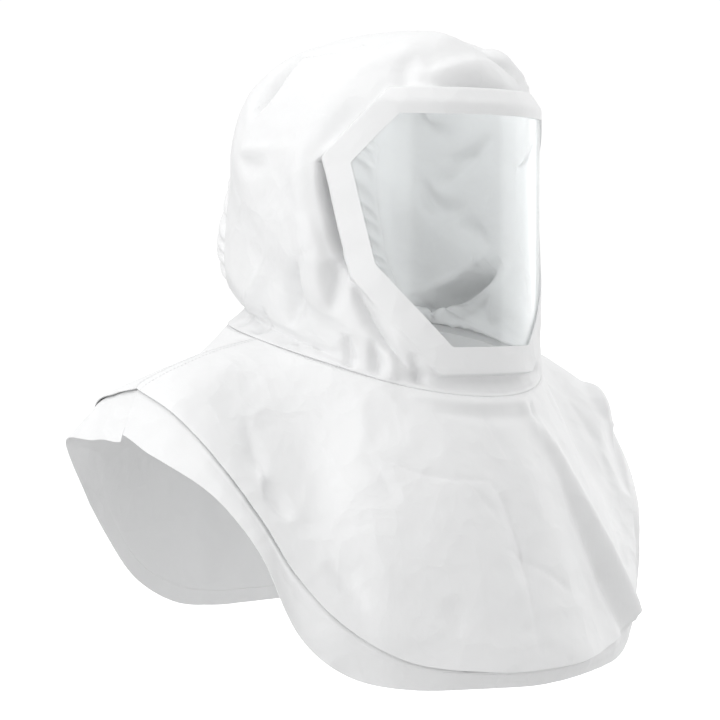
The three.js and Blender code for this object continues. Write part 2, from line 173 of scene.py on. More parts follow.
BACK_BIB = columns(
    BIB_NAMES,
    [
        (180, 0, 152, -330, 0, 160, -470, 0, 164, -486),
        (162, 48, 150, -328, 56, 158, -468, 58, 162, -485),
        (146, 94, 140, -322, 104, 150, -457, 104, 157, -476),
        (132, 134, 126, -314, 150, 138, -432, 152, 146, -450),
        (121, 158, 108, -304, 188, 124, -390, 192, 130, -411),
        (112, 174, 88, -292, 215, 108, -346, 226, 112, -370),
        (105, 182, 60, -278, 233, 84, -304, 250, 100, -332),
        (100, 184, 34, -268, 239, 50, -293, 255, 56, -329),
        SHOULDER_SEAM,
    ],
)

# Clearance in the shoulder seam, and how far a bib's edge turns in at the neck
SEAM_GAP = 0.4
BIB_LIP = 2.6

# Gaps between the bibs at the neck and lower down, and how far the inner bib's hem swings inwards
SEATED_GAP = 1.3
BIB_CLEARANCE = 3.2
INNER_SWING = 3.0

# Extra length of the inner bib's front (-1) and back (1) panels, in their middle and at the shoulder
INNER_LONGER = {-1: (0.04, 0.0), 1: (0.0, 0.05)}

# Steps down a bib, each as the place where it starts and how far it takes. Places are 0 at the neck
# seam, 1 at the break, 2 at the outer hem and 3 at the inner hem.
LIP_STEP = (0.0, 0.05)
FREE_STEP = (0.0, 0.14)
CRUMPLE_STEP = (0.0, 0.5)
CLEARANCE_STEP = (0.0, 0.8)
LOOSE_STEP = (1.6, 1.4)
STRAIGHT_STEP = (1.7, 0.6)
SWING_STEP = (1.8, 1.2)
BAND_STEP = (2.0, 0.5)

# Steps across half of a bib, from 0 in its middle to 1 at the shoulder seam
SIDE_STEP = (0.35, 0.3)
SHOULDER_STEP = (0.9, 0.1)
SHOULDER_FREE = 14.0

# Share of the folds that the band of the inner bib below the outer hem doesn't have
BAND_CALM = 0.85

# Folds: three points along the cloth, the half width and the depth, which is negative for a valley.
# The peak says where between a (0) and c (1) a fold is deepest, and crisp how sharp its crease is. A
# twin is the share of the depth that the fold's mirror image has.
Fold = namedtuple("Fold", "a b c width depth peak crisp twin")
HOOD_FOLDS = (
    # Leaf along the border's lower corner, and the lower end of the pleat beside the border
    Fold((-104, -81, -199), (-94, -95, -235), (-74, -116, -274), 5.5, -11, 0.45, 0.3, 0.5),
    Fold((-109, -70, -186), (-110, -70, -206), (-112, -68, -230), 8, -9, 0.3, 0, 0.5),
    # Long folds between the side of the head and the neck
    Fold((-106, 56, -238), (-117, 13, -198), (-123, -11, -166), 7, 5, 0.35, 0.2, 0.6),
    Fold((-117, -20, -241), (-117, -27, -216), (-123, -41, -182), 9, -13, 0.4, 0, 0.5),
    Fold((-112, -44, -244), (-119, -54, -202), (-121, -49, -150), 15, 4, 0.5, 0, 0.6),
    Fold((-124, -34, -183), (-121, -48, -181), (-116, -58, -180), 3, -2, 0.5, 0.5, 0),
    # Dents of the crown, and the crease round the back of the head
    Fold((-102, 44, -68), (-87, 35, -42), (-60, 30, -17), 9, -24, 0.42, 0.3, 0.4),
    Fold((-60, 28, -17), (-61, -7, -15), (-56, -41, -13), 5, -4, 0.35, 0.4, 0.4),
    Fold((-112, 47, -97), (-117, 9, -97), (-118, -34, -96), 5, 3.5, 0.2, 0.5, 0.5),
    Fold((-114, 42, -105), (-119, 21, -110), (-120, -1, -111), 8, -4, 0.3, 0, 0.4),
    # Hollows behind the border's upper edges, the fold over the brow and the fullness at its left end
    Fold((-113, -54, -98), (-98, -76, -73), (-80, -106, -56), 9, -5, 0.5, 0, 0.6),
    Fold((-49, -94, -24), (-60, -99, -39), (-72, -109, -52), 8, -3.5, 0.4, 0, 0.4),
    Fold((-54, -114, -46), (-14, -117, -32), (42, -110, -36), 9, 4, 0.5, 0, 0),
    Fold((-48, -121, -49), (-8, -130, -45), (48, -120, -50), 5.5, -8, 0.55, 0.2, 0),
    Fold((42, -80, -14), (54, -100, -32), (60, -118, -62), 13, 10, 0.6, 0, 0.3),
    Fold((20, -106, -20), (42, -106, -30), (50, -116, -46), 4.5, -6, 0.5, 0.3, 0),
    Fold((-6, -78, -2), (24, -84, -8), (46, -82, -16), 15, -8, 0.6, 0, 0),
    # Gathers that show most above the neck seam, and the recess under the visor
    Fold((-109, 46, -243), (-106, 47, -236), (-101, 46, -226), 4.5, -4, 0.4, 0, 0),
    Fold((-121, 13, -249), (-115, 17, -238), (-115, 13, -224), 4.5, -4, 0.4, 0, 0),
    Fold((-105, -82, -274), (-104, -78, -259), (-105, -76, -244), 5, -8, 0.4, 0.2, 0),
    Fold((-91, -100, -280), (-93, -98, -265), (-95, -95, -248), 5, -9, 0.4, 0.2, 0),
    Fold((-66, -122, -288), (-68, -120, -275), (-72, -117, -260), 6, -8, 0.4, 0.2, 0),
    Fold((-84, -106, -282), (-84, -106, -270), (-86, -104, -256), 5, 4, 0.4, 0, 0),
    Fold((-84, -112, -279), (-2, -142, -282), (84, -112, -279), 10, -10, 0.5, 0, 0),
    # Folds of the left side and the back, which show inside the hood through the visor
    Fold((111, 51, -124), (115, 19, -103), (111, -22, -81), 7, 7, 0.5, 0, 0),
    Fold((107, 58, -115), (112, 47, -139), (121, 17, -136), 8, 9, 0.5, 0, 0),
    Fold((94, 48, -60), (103, 46, -74), (105, 27, -68), 9, 6, 0.5, 0, 0),
    Fold((117, 28, -155), (120, 11, -161), (124, -5, -174), 9, 8, 0.5, 0, 0),
    Fold((86, 74, -214), (116, 24, -202), (124, -24, -172), 6, -7, 0.5, 0, 0),
    Fold((84, 76, -230), (115, 24, -217), (124, -24, -188), 9, 21, 0.5, 0, 0),
    Fold((90, 70, -240), (114, 20, -231), (120, -26, -204), 6, -13, 0.5, 0.4, 0),
)
BIB_FOLDS = (
    # Roll of cloth below the throat
    Fold((-78, -117, -293), (-20, -141, -297), (52, -136, -299), 6, 4, 0.5, 0, 0),
    Fold((-64, -132, -305), (-10, -149, -310), (50, -142, -310), 6, -3, 0.5, 0, 0),
    # Arcs over the shoulder and the side of the chest
    Fold((-109, -79, -275), (-92, -105, -289), (-86, -121, -308), 6, 1.4, 0.5, 0.4, 0.6),
    Fold((-107, -93, -293), (-112, -105, -319), (-128, -109, -350), 7, 0.9, 0.5, 0.2, 0.5),
    Fold((-119, -108, -335), (-112, -126, -355), (-109, -138, -378), 6, -1.1, 0.5, 0.4, 0.5),
    Fold((-110, -120, -350), (-130, -140, -410), (-125, -160, -490), 30, 4, 0.5, 0, 0.6),
    # Long fold from the throat to the left hem, with its valley
    Fold((14, -136, -285), (92, -158, -398), (170, -150, -516), 11, 10, 0.75, 0, 0),
    Fold((20, -148, -306), (66, -172, -410), (104, -180, -540), 30, -5, 0.7, 0, 0),
    Fold((30, -147, -306), (86, -165, -406), (146, -166, -530), 11, -6, 0.7, 0, 0),
    Fold((-22, -146, -309), (-17, -172, -383), (5, -191, -464), 16, -3, 0.4, 0, 0),
    # Creases of the chest
    Fold((-32, -164, -359), (-13, -179, -407), (-8, -197, -505), 6, -3, 0.6, 0.5, 0),
    Fold((-111, -116, -335), (-80, -147, -354), (-22, -166, -360), 3.5, -1.4, 0.5, 0.6, 0),
    Fold((-56, -155, -351), (-41, -167, -374), (-30, -174, -390), 3, -1.4, 0.5, 0.7, 0),
    Fold((-34, -177, -410), (-1, -184, -427), (50, -184, -459), 3, -1.4, 0.5, 0.7, 0),
    Fold((-21, -142, -302), (-12, -155, -329), (-3, -163, -352), 4, -1.6, 0.5, 0.5, 0),
    Fold((77, -119, -293), (93, -121, -311), (98, -130, -330), 6, -2.5, 0.4, 0.4, 0),
    Fold((42, -138, -300), (40, -146, -312), (46, -150, -336), 4, -2, 0.4, 0.4, 0),
    # Dents near the hems, and the lobe over the left shoulder
    Fold((-164, -121, -416), (-157, -132, -434), (-145, -146, -454), 9, -3.4, 0.5, 0, 0.5),
    Fold((-183, -46, -308), (-188, -62, -331), (-191, -76, -354), 8, -3.4, 0.6, 0.2, 0.5),
    Fold((-192, -78, -357), (-189, -88, -370), (-182, -98, -387), 9, -5, 0.5, 0, 0.5),
    Fold((-200, -86, -372), (-195, -78, -358), (-188, -68, -342), 3, 2, 0.5, 0.5, 0.4),
    Fold((-84, -172, -446), (-81, -177, -461), (-77, -182, -478), 10, -2.5, 0.5, 0, 0.5),
    Fold((237, -12, -296), (230, -36, -311), (222, -54, -328), 8, 7, 0.5, 0, 0),
    Fold((226, -56, -330), (216, -76, -356), (202, -98, -390), 13, -8, 0.4, 0, 0),
    # Long soft folds of the back
    Fold((60, 150, -280), (70, 156, -360), (66, 158, -468), 24, 5, 0.6, 0, 1),
    Fold((22, 150, -290), (26, 156, -360), (18, 160, -440), 14, -4, 0.5, 0, 1),
    Fold((118, 130, -290), (126, 136, -350), (118, 146, -430), 16, -4, 0.5, 0, 1),
)
FOLD_SAMPLES = 9
FOLD_TAPER = 0.8
FOLD_NARROW = 0.45
CREASE_FALL = 1.7
EDGE_FADE = 3.0
SEAM_FADE = 4.0

# Deep pleat beside the border, between two columns, with the fullness behind it. The moat is the
# shallow dip that follows the border's edge all the way.
PLEAT_COLUMNS = (14.0, 26.4)
PLEAT_DEPTH = 24.0
PLEAT_FULLNESS = 5.0
LEFT_PLEAT_SHARE = 0.4
MOAT_DEPTH = 2.2

# Columns over which the pleat fades at its lower and its upper end, and its width there
PLEAT_ENDS = (4.0, 5.0)
PLEAT_NARROW = 0.4

# Steps out from the border's edge: the pleat turns in and comes out again, and the moat does
PLEAT_IN = (3.0, 2.5)
PLEAT_OUT = (6.0, 7.5)
MOAT_IN = (0.0, 3.0)
MOAT_OUT = (5.0, 14.0)
FULLNESS_PLACE = 27.0
FULLNESS_WIDTH = 13.0

# Crumples: the size and the shift of the noise of each kind, and their weights
LUMPS = (60, 3.1)
CREASES = (44, 7.7)
FINE_CREASES = (19, 11.3)
FINE_PATCHES = (80, 17.9)
LUMP_WEIGHT = 0.7
CREASE_WEIGHT = 1.2
FINE_WEIGHT = 0.7
PATCH_CONTRAST = 1.5
CREASE_LEVEL = 0.3

# Gathers of the neck seam. Waves are given by their size, their count and their phase.
GATHER_COUNT = 20
GATHER_START = 5.0
GATHER_REACH = 40.0
GATHER_WANDER = ((1.3, 3, 0.6), (0.8, 7, 0.0))
GATHER_UNEVEN = (0.38, 5, 1.4)
FINE_GATHER_RATE = 2.4
FINE_GATHER_REACH = 15.0
FINE_GATHER_SHARE = 0.35
LEFT_GATHER_SHARE = 0.1

# Back panel: its fullness, the groove of its side seams, in columns and rows, and its tucked edge
BACK_BULGE = 8.0
BACK_GROOVE = 4.0
BACK_GROOVE_WIDTH = 0.7
BACK_GROOVE_FADE = 1.5
BACK_OVERLAP = 0.35
BACK_TUCK = 1.4
BACK_TUCK_SIDE = 0.035
BACK_TUCK_END = 0.05

# Puckers of the back panel's sides. The shifts make both sides differ, and the waves have a size and a
# count. The reach is a share of the panel's width.
PUCKER_COUNT = 9
PUCKER_DEPTH = 2.6
PUCKER_SHIFTS = (0.4, 2.1)
PUCKER_WANDER = (1.3, 8)
PUCKER_FLUTTER = (0.8, 19)
PUCKER_HEIGHTS = (0.25, 13)
PUCKER_REACHES = (0.12, 15)
PUCKER_REACH = 0.34
PUCKER_PINCH = 0.4
PUCKER_START = 0.05
PUCKER_END_RATE = 9.0


def mix(a, b, f):
    """A value or point part of the way from a to b."""
    return a + (b - a) * f


def smooth(f):
    """An even step from 0 to 1."""
    x = np.clip(f, 0, 1)
    return x * x * (3 - 2 * x)


def step(value, start, span):
    """An even step from 0 to 1 that starts at a value and takes a span."""
    return smooth((value - start) / span)


def waves(at, *terms):
    """A sum of sine waves, each with its size, its count and its phase."""
    return sum(size * np.sin(count * at + phase) for size, count, phase in terms)


def through(values, position, mirror=0):
    """A smooth value through a column of numbers at fractional rows.

    A mirror sign says how the column goes on before its first row: 1 for even columns, -1 for odd ones.
    """
    first = mirror * values[1] if mirror else 2 * values[0] - values[1]
    line = np.concatenate([[first], values, [2 * values[-1] - values[-2]]])
    k = np.clip(np.floor(position).astype(int), 0, len(values) - 2)
    own = () if line.ndim == 1 else (np.arange(len(k)),)
    a, b, c, d = (line[(k + n, *own)] for n in range(4))
    f = position - k
    cubic = 3 * (b - c) + d - a
    square = 2 * a - 5 * b + 4 * c - d
    return b + 0.5 * f * (c - a + f * (square + f * cubic))


def window_leans():
    """How each corner of the window moves, on the flat sheet, as the outline grows by 1 mm."""
    corner = np.stack([WINDOW["arc"], WINDOW["z"]], 1)
    side = np.diff(corner, axis=0)
    outward = np.stack([side[:, 1], -side[:, 0]], 1)
    outward /= np.linalg.norm(outward, axis=1, keepdims=True)
    before = np.concatenate([outward[:1], outward])
    after = np.concatenate([outward, outward[-1:]])
    return (before + after) / (1 + (before * after).sum(1, keepdims=True))


WINDOW_LEANS = window_leans()


def halved(column):
    """How far a column stands from the chin, and on which side."""
    wrapped = np.mod(column, HOOD_COLUMNS)
    left = wrapped <= HALF_COLUMNS
    return np.where(left, wrapped, HOOD_COLUMNS - wrapped), np.where(left, 1, -1)


def outline(column, distance):
    """A point of the window's outline on the flat sheet, a distance out from the window's edge."""
    along, side = halved(column)
    arc = np.interp(along, WINDOW_STOPS, WINDOW["arc"])
    z = np.interp(along, WINDOW_STOPS, WINDOW["z"])
    arc_lean = np.interp(along, WINDOW_STOPS, WINDOW_LEANS[:, 0])
    z_lean = np.interp(along, WINDOW_STOPS, WINDOW_LEANS[:, 1])
    return side * (arc + distance * arc_lean), z + distance * z_lean


def bent(arc, z, radius):
    """A point of the flat sheet after it is bent about the upright axis."""
    turn = arc / LENS_RADIUS
    return np.stack([radius * np.sin(turn), LENS_AXIS_Y - radius * np.cos(turn), z], -1)


def border_point(column, distance):
    """The smooth band round the window, which leans back to the crown above the visor."""
    arc, z = outline(column, distance)
    above = np.maximum(z - WINDOW_HIGH - LENS_MARGIN - 1, 0)
    return bent(arc, z, LENS_RADIUS - BORDER_LEAN * above)


def corner_angles():
    """How far round a hood section each corner's column stands, from 0 at the chin to pi at the top."""
    arc = WINDOW["arc"] + BORDER_WIDTH * WINDOW_LEANS[:, 0]
    z = WINDOW["z"] + BORDER_WIDTH * WINDOW_LEANS[:, 1]
    run = np.concatenate([[0], np.cumsum(np.hypot(np.diff(arc), np.diff(z)))])
    return math.pi * run / run[-1]


CORNER_ANGLES = corner_angles()


def column_angle(column):
    """How far round a hood section a column stands, with the wearer's left as positive."""
    along, side = halved(column)
    return side * np.interp(along, WINDOW_STOPS, CORNER_ANGLES)


def neck_seam(angle):
    """The neck seam at an angle round the neck, from 0 at the throat to pi at the nape."""
    c = np.cos(angle)
    s = np.sin(angle)
    height = NECK_HEIGHT - NECK_TILT_DROP * c + NECK_SADDLE * s * s
    return np.stack([NECK_HALF_WIDTH * s, NECK_CENTRE_Y - NECK_HALF_LENGTH * c, height], -1)


def hood_hem(angle):
    """The hood's lower edge: just under the bib's edge at the throat, a little above it elsewhere."""
    lift = HEM_AT_THROAT + HEM_RISE * step(np.abs(angle), *HEM_RISE_STEP)
    return neck_seam(angle) + np.stack([0 * lift, 0 * lift, lift], -1)


def section_point(column, position):
    """One section of the hood at a fractional row of its table. The last one is the neck seam."""
    row = {name: through(values, position) for name, values in SECTIONS.items()}
    angle = column_angle(column)
    arc, z = outline(column, BORDER_WIDTH)
    widest = WINDOW["arc"].max() + BORDER_WIDTH
    low = WINDOW_LOW - BORDER_WIDTH
    high = WINDOW_HIGH + BORDER_WIDTH
    shape = np.maximum(row["window_shape"], 0)

    def full(x):
        return np.sign(x) * np.abs(x) ** row["roundness"]

    across = mix(full(np.sin(angle)), arc / widest, shape)
    up = mix(-full(np.cos(angle)), (2 * z - low - high) / (high - low), shape)
    half_y = (row["top_y"] - row["chin_y"]) / 2
    half_z = (row["top_z"] - row["chin_z"]) / 2
    push = row["bow"] * across * across / np.hypot(half_y, half_z)
    point = np.stack(
        [
            row["half_width"] * across,
            row["chin_y"] + half_y * (1 + up) + half_z * push,
            row["chin_z"] + half_z * (1 + up) - half_y * push,
        ],
        -1,
    )
    return mix(point, hood_hem(angle), smooth(position - LAST_SECTION + 1)[:, None])


def bridge_point(column, position):
    """The cloth between the border's edge (position -1) and the first section (position 0)."""
    edge = border_point(column, BORDER_WIDTH)
    start = section_point(column, np.zeros_like(position))
    nudge = 0.05
    leaving = (section_point(column, np.full_like(position, nudge)) - start) / nudge
    entering = 1.5 * (start - edge) - 0.5 * leaving
    t = (position + 1)[:, None]
    far = t * t * (3 - 2 * t)
    return mix(edge, start, far) + t * (1 - t) * ((1 - t) * entering - t * leaving)


def apron_point(column, share):
    """The short cloth below the visor, from the border's edge (share 0) to the neck seam (share 1)."""
    edge = border_point(column, BORDER_WIDTH)
    seam = hood_hem(column_angle(column))
    across = seam - edge
    length = np.linalg.norm(across, axis=1, keepdims=True)
    leaving = (edge - border_point(column, BORDER_WIDTH - 1)) * length
    t = share[:, None]
    return mix(edge, seam, t * t * (3 - 2 * t)) + t * (1 - t) * ((1 - t) * leaving - t * across)


def hood_v(row):
    """Where a row behind the border, counted from 0 at its edge, lies on the hood's cloth."""
    return mix(BORDER_SHARE, TUCK_START, row / SECTION_ROWS)


# The back panel's side seams and its upper and lower seam on the hood's cloth
BACK_SIDES = tuple(c / HOOD_COLUMNS for c in BACK_COLUMNS)
BACK_ENDS = tuple(hood_v(row) for row in BACK_ROWS)


def hood_row(v):
    """The row behind the border at a place on the hood's cloth."""
    return (v - BORDER_SHARE) / (TUCK_START - BORDER_SHARE) * SECTION_ROWS


def hood_column(u, v):
    """The column at a place on the hood's cloth. The back panel's side seams spread as they go down."""
    out = u - 0.5
    share = np.clip(np.abs(out) * HOOD_COLUMNS / BACK_SPREAD_REACH, 0, 1)
    down = smooth((hood_row(v) - BACK_ROWS[0]) / (BACK_ROWS[1] - BACK_ROWS[0]))
    spread = np.sign(out) * BACK_SPREAD * down * np.sin(math.pi * share)
    return -u * HOOD_COLUMNS - spread


def hood_surface(u, v):
    """The hood's cloth, from the window's edge at v 0 to the edge tucked into the neck seam at v 1."""
    column = hood_column(u, v)
    position = np.clip(hood_row(v) / SECTION_ROWS * (LAST_SECTION + 1) - 1, -1, LAST_SECTION)
    on_border = (v < BORDER_SHARE)[:, None]
    on_bridge = (position < 0)[:, None]
    border = border_point(column, BORDER_WIDTH * np.clip(v / BORDER_SHARE, 0, 1))
    bridge = bridge_point(column, np.minimum(position, 0))
    body = section_point(column, np.maximum(position, 0))
    low, high = APRON_COLUMNS
    below = smooth(smooth((high - halved(column)[0]) / (high - low)))[:, None]
    apron = apron_point(column, np.clip(hood_row(v) / SECTION_ROWS, 0, 1))
    bridge = mix(bridge, apron, below)
    body = mix(body, apron, below)
    tuck = np.clip((v - TUCK_START) / (1 - TUCK_START), 0, 1)
    angle = column_angle(column)
    inward = TUCK_IN * np.sqrt(tuck)
    body = body + np.stack(
        [-inward * np.sin(angle), inward * np.cos(angle), -TUCK_DROP * tuck * tuck], -1
    )
    return np.where(on_border, border, np.where(on_bridge, bridge, body))


def bib_surface(bib, facing, last_place):
    """A bib's cloth as a function of (u, v). Place 0 is the neck seam, 1 the break, 2 the outer bib's
    hem and 3 the inner bib's. The panel's seam edge keeps half of the seam's clearance."""
    last = len(bib["break_x"]) - 1
    start = bib["neck_angle"][0]
    turn = bib["neck_angle"] - start

    def surface(u, v):
        across = facing * (2 * u - 1)
        place = v * last_place
        position = np.abs(across) * last
        side = np.where(across < 0, -1, 1)
        neck = neck_seam(np.radians(start + through(turn, position, -1)))
        axes = []
        for n, axis in enumerate("xyz"):
            even = -1 if axis == "x" else 1
            stops = [through(bib[f"{stop}_{axis}"], position, even) for stop in ("break", "hem", "low")]
            curve = through(np.array([neck[:, n], *stops]), place)
            straight = mix(stops[1], stops[2], place - 2)
            axes.append(mix(curve, straight, step(place, *STRAIGHT_STEP)))
        apart = np.maximum(position - last + 1, 0) * SEAM_GAP / 2
        return np.stack([side * axes[0], axes[1] + facing * apart, axes[2]], -1)

    return surface


def fold_strip(point, normal, path, fold, depth):
    """The height of one fold at points of the cloth, measured in the cloth's own plane."""
    reach = 4 * fold.width
    near = np.all((point > path.min(0) - reach) & (point < path.max(0) + reach), axis=1)
    height = np.zeros(len(point))
    p, n = point[near], normal[near]
    best = np.full(len(p), np.inf)
    share = np.zeros(len(p))
    steps = len(path) - 1
    for k in range(steps):
        along = path[k + 1] - path[k]
        t = np.clip((p - path[k]) @ along / (along @ along), 0, 1)
        away = p - path[k] - t[:, None] * along
        away -= (away * n).sum(1, keepdims=True) * n
        far = np.linalg.norm(away, axis=1)
        closer = far < best
        best = np.where(closer, far, best)
        share = np.where(closer, (k + t) / steps, share)
    rising = np.sin(math.pi / 2 * np.clip(share / fold.peak, 0, 1))
    falling = np.cos(math.pi / 2 * np.clip((share - fold.peak) / (1 - fold.peak), 0, 1))
    taper = np.maximum(rising * falling, 0) ** FOLD_TAPER
    far = best / (fold.width * mix(FOLD_NARROW, 1, taper))
    height[near] = depth * taper * mix(np.exp(-far * far), np.exp(-CREASE_FALL * far), fold.crisp)
    return height


def fold_height(folds, point, normal):
    """The height of a table of folds, with their mirror images, at points of the cloth."""
    t = np.linspace(0, 1, FOLD_SAMPLES)[:, None]
    total = np.zeros(len(point))
    for fold in folds:
        a, b, c = (np.array(p, float) for p in (fold.a, fold.b, fold.c))
        path = a * (1 - t) * (1 - 2 * t) + b * 4 * t * (1 - t) + c * t * (2 * t - 1)
        total += fold_strip(point, normal, path, fold, fold.depth)
        if fold.twin:
            mirrored = path * np.array([-1, 1, 1])
            total += fold_strip(point, normal, mirrored, fold, fold.depth * fold.twin)
    return total


def noise_at(point, size, shift):
    """Smooth noise from about -1 to 1, with lumps of a size in millimetres."""
    return np.array([noise.noise(p) for p in point / size + shift])


def crumple(point):
    """Soft lumps and the sharp creases of handled nonwoven, from about -1 to 1."""
    lumps = noise_at(point, *LUMPS)
    creases = CREASE_LEVEL - np.abs(noise_at(point, *CREASES))
    fine = CREASE_LEVEL - np.abs(noise_at(point, *FINE_CREASES))
    patches = smooth(0.5 + PATCH_CONTRAST * noise_at(point, *FINE_PATCHES))
    return LUMP_WEIGHT * lumps + CREASE_WEIGHT * creases + FINE_WEIGHT * fine * patches


def gathers(point):
    """Small gathers that rise from the neck seam, from -1 to 1."""
    angle = np.arctan2(point[:, 0], NECK_CENTRE_Y - point[:, 1])
    above = point[:, 2] - neck_seam(angle)[:, 2]
    wander = waves(angle, *GATHER_WANDER)
    reach = GATHER_REACH * (1 - GATHER_UNEVEN[0] + waves(angle, GATHER_UNEVEN))
    wide = np.cos(GATHER_COUNT * angle + wander) * (1 - smooth(above / reach))
    ripple = np.cos(FINE_GATHER_RATE * GATHER_COUNT * angle - 2 * wander)
    fine = ripple * (1 - smooth(above / FINE_GATHER_REACH))
    calm = np.where(angle > 0, LEFT_GATHER_SHARE, 1)
    rise = smooth(above / GATHER_START)
    return calm * (wide + FINE_GATHER_SHARE * fine) * rise * np.sin(angle) ** 2


def pleat(column, from_edge):
    """The deep pleat beside the border, where the cloth turns in and swells out again, and the moat."""
    along, side = halved(column)
    low, high = PLEAT_COLUMNS
    low_end, high_end = PLEAT_ENDS
    above_low = step(along, low, low_end)
    leaf = above_low * smooth((high - along) / high_end)
    wide = mix(PLEAT_NARROW, 1, leaf)
    share = leaf * np.where(side < 0, 1, LEFT_PLEAT_SHARE)
    out_start, out_span = PLEAT_OUT
    turned_in = step(from_edge, *PLEAT_IN) * (1 - step(from_edge, out_start * wide, out_span * wide))
    swell = np.exp(-(((from_edge - FULLNESS_PLACE) / FULLNESS_WIDTH) ** 2))
    moat = step(from_edge, *MOAT_IN) * (1 - step(from_edge, *MOAT_OUT)) * above_low
    return share * (PLEAT_FULLNESS * swell - PLEAT_DEPTH * turned_in) - MOAT_DEPTH * moat


class Cloth:
    """A surface of (u, v), in millimetres, raised by a relief along its outward normals."""

    STEP = 1e-4

    def __init__(self, surface, relief):
        self.surface = surface
        self.relief = relief

    def normals(self, u, v):
        """Outward normals of the smooth surface."""
        across = self.surface(u + self.STEP, v) - self.surface(u - self.STEP, v)
        lower = np.minimum(v + self.STEP, 1)
        upper = np.maximum(v - self.STEP, 0)
        normal = np.cross(across, self.surface(u, lower) - self.surface(u, upper))
        return normal / np.maximum(np.linalg.norm(normal, axis=1, keepdims=True), 1e-12)

    def points(self, u, v):
        """The cloth's points in metres."""
        point = self.surface(u, v)
        normal = self.normals(u, v)
        return (point + normal * self.relief(point, normal, u, v)[:, None]) * MM


def back_seam(u, v):
    """The groove along both side seams of the back panel, from 0 to 1."""
    low, high = BACK_COLUMNS
    top, bottom = BACK_ROWS
    away = np.minimum(np.abs(u * HOOD_COLUMNS - low), np.abs(u * HOOD_COLUMNS - high))
    row = hood_row(v)
    ends = step(row, top, BACK_GROOVE_FADE) * smooth((bottom - row) / BACK_GROOVE_FADE)
    return np.exp(-((away / BACK_GROOVE_WIDTH) ** 2)) * ends


def hood_cloth(look):
    """The hood's cloth with its folds, gathers and crumples. The border stays smooth."""

    def relief(point, normal, u, v):
        edge = hood_surface(u, np.full_like(v, BORDER_SHARE))
        seam = hood_surface(u, np.full_like(v, TUCK_START))
        from_edge = np.where(v > BORDER_SHARE, np.linalg.norm(point - edge, axis=1), 0)
        from_seam = np.where(v < TUCK_START, np.linalg.norm(point - seam, axis=1), 0)
        soft = fold_height(HOOD_FOLDS, point, normal)
        soft += look.gather_depth / MM * gathers(point)
        soft += look.crumple_depth / MM * crumple(point)
        soft *= smooth(from_edge / EDGE_FADE) * smooth(from_seam / SEAM_FADE)
        return soft + pleat(hood_column(u, v), from_edge) - BACK_GROOVE * back_seam(u, v)

    return Cloth(hood_surface, relief)


def back_panel_cloth(look):
    """The panel at the back of the head: full in its middle, and gathered along both sides."""
    hood = hood_cloth(look)

    def hood_place(u, v):
        low, high = BACK_SIDES
        over = BACK_OVERLAP / HOOD_COLUMNS
        top, bottom = BACK_ROWS
        rows = mix(top - BACK_OVERLAP / 2, bottom + BACK_OVERLAP / 2, v)
        return mix(low - over, high + over, u), hood_v(rows)

    def surface(u, v):
        return hood.surface(*hood_place(u, v))

    def relief(point, normal, u, v):
        seat = hood.relief(point, normal, *hood_place(u, v))
        full = np.sin(math.pi * np.clip(u, 0, 1)) * np.sin(math.pi * np.clip(v, 0, 1))
        from_side = np.minimum(u, 1 - u)
        shift = np.where(u < 0.5, *PUCKER_SHIFTS)
        wander = waves(v, (*PUCKER_WANDER, shift), (*PUCKER_FLUTTER, -shift))
        height = 1 - PUCKER_HEIGHTS[0] + waves(v, (*PUCKER_HEIGHTS, 3 * shift))
        wave = np.cos(2 * math.pi * PUCKER_COUNT * v + wander) * height
        reach = PUCKER_REACH + waves(v, (*PUCKER_REACHES, 2 * shift))
        inside = smooth(from_side / PUCKER_START) * (1 - smooth(from_side / reach))
        pucker = (wave - PUCKER_PINCH * wave * wave) * inside
        ends = smooth(v * PUCKER_END_RATE) * smooth((1 - v) * PUCKER_END_RATE)
        edge = np.minimum(from_side / BACK_TUCK_SIDE, np.minimum(v, 1 - v) / BACK_TUCK_END)
        tucked = -BACK_TUCK * (1 - smooth(edge))
        return seat + BACK_BULGE * full + PUCKER_DEPTH * pucker * ends + tucked

    return Cloth(surface, relief)


def bib_cloth(bib, facing, is_inner, look):
    """One bib panel. The inner bib lies under the outer one and hangs lower."""
    last_place = 3 if is_inner else 2
    smooth_bib = bib_surface(bib, facing, last_place)

    def surface(u, v):
        at_seam = step(np.abs(2 * u - 1), *SHOULDER_STEP)
        longer = mix(*INNER_LONGER[facing], at_seam) if is_inner else 0
        point = smooth_bib(u, v * (1 + longer))
        out = (point - np.array([0, NECK_CENTRE_Y, 0])) * np.array([1, 1, 0])
        out /= np.linalg.norm(out, axis=1, keepdims=True)
        return point - out * (BIB_LIP * (1 - step(v * last_place, *LIP_STEP)))[:, None]

    def relief(point, normal, u, v):
        place = v * last_place
        across = np.abs(2 * u - 1)
        to_side = step(across, *SIDE_STEP)
        free = step(place, *FREE_STEP) * smooth((1 - across) * SHOULDER_FREE)
        soft = fold_height(BIB_FOLDS, point, normal) * (1 - BAND_CALM * step(place, *BAND_STEP))
        soft += look.crumple_depth / MM * crumple(point) * step(place, *CRUMPLE_STEP)
        under = mix(SEATED_GAP, BIB_CLEARANCE, step(place, *CLEARANCE_STEP))
        swing = INNER_SWING * step(place, *SWING_STEP) * (1 - to_side)
        loose = 1 - step(place, *LOOSE_STEP) * to_side
        hidden = under * loose + swing if is_inner else 0
        return free * soft - hidden

    return Cloth(surface, relief)


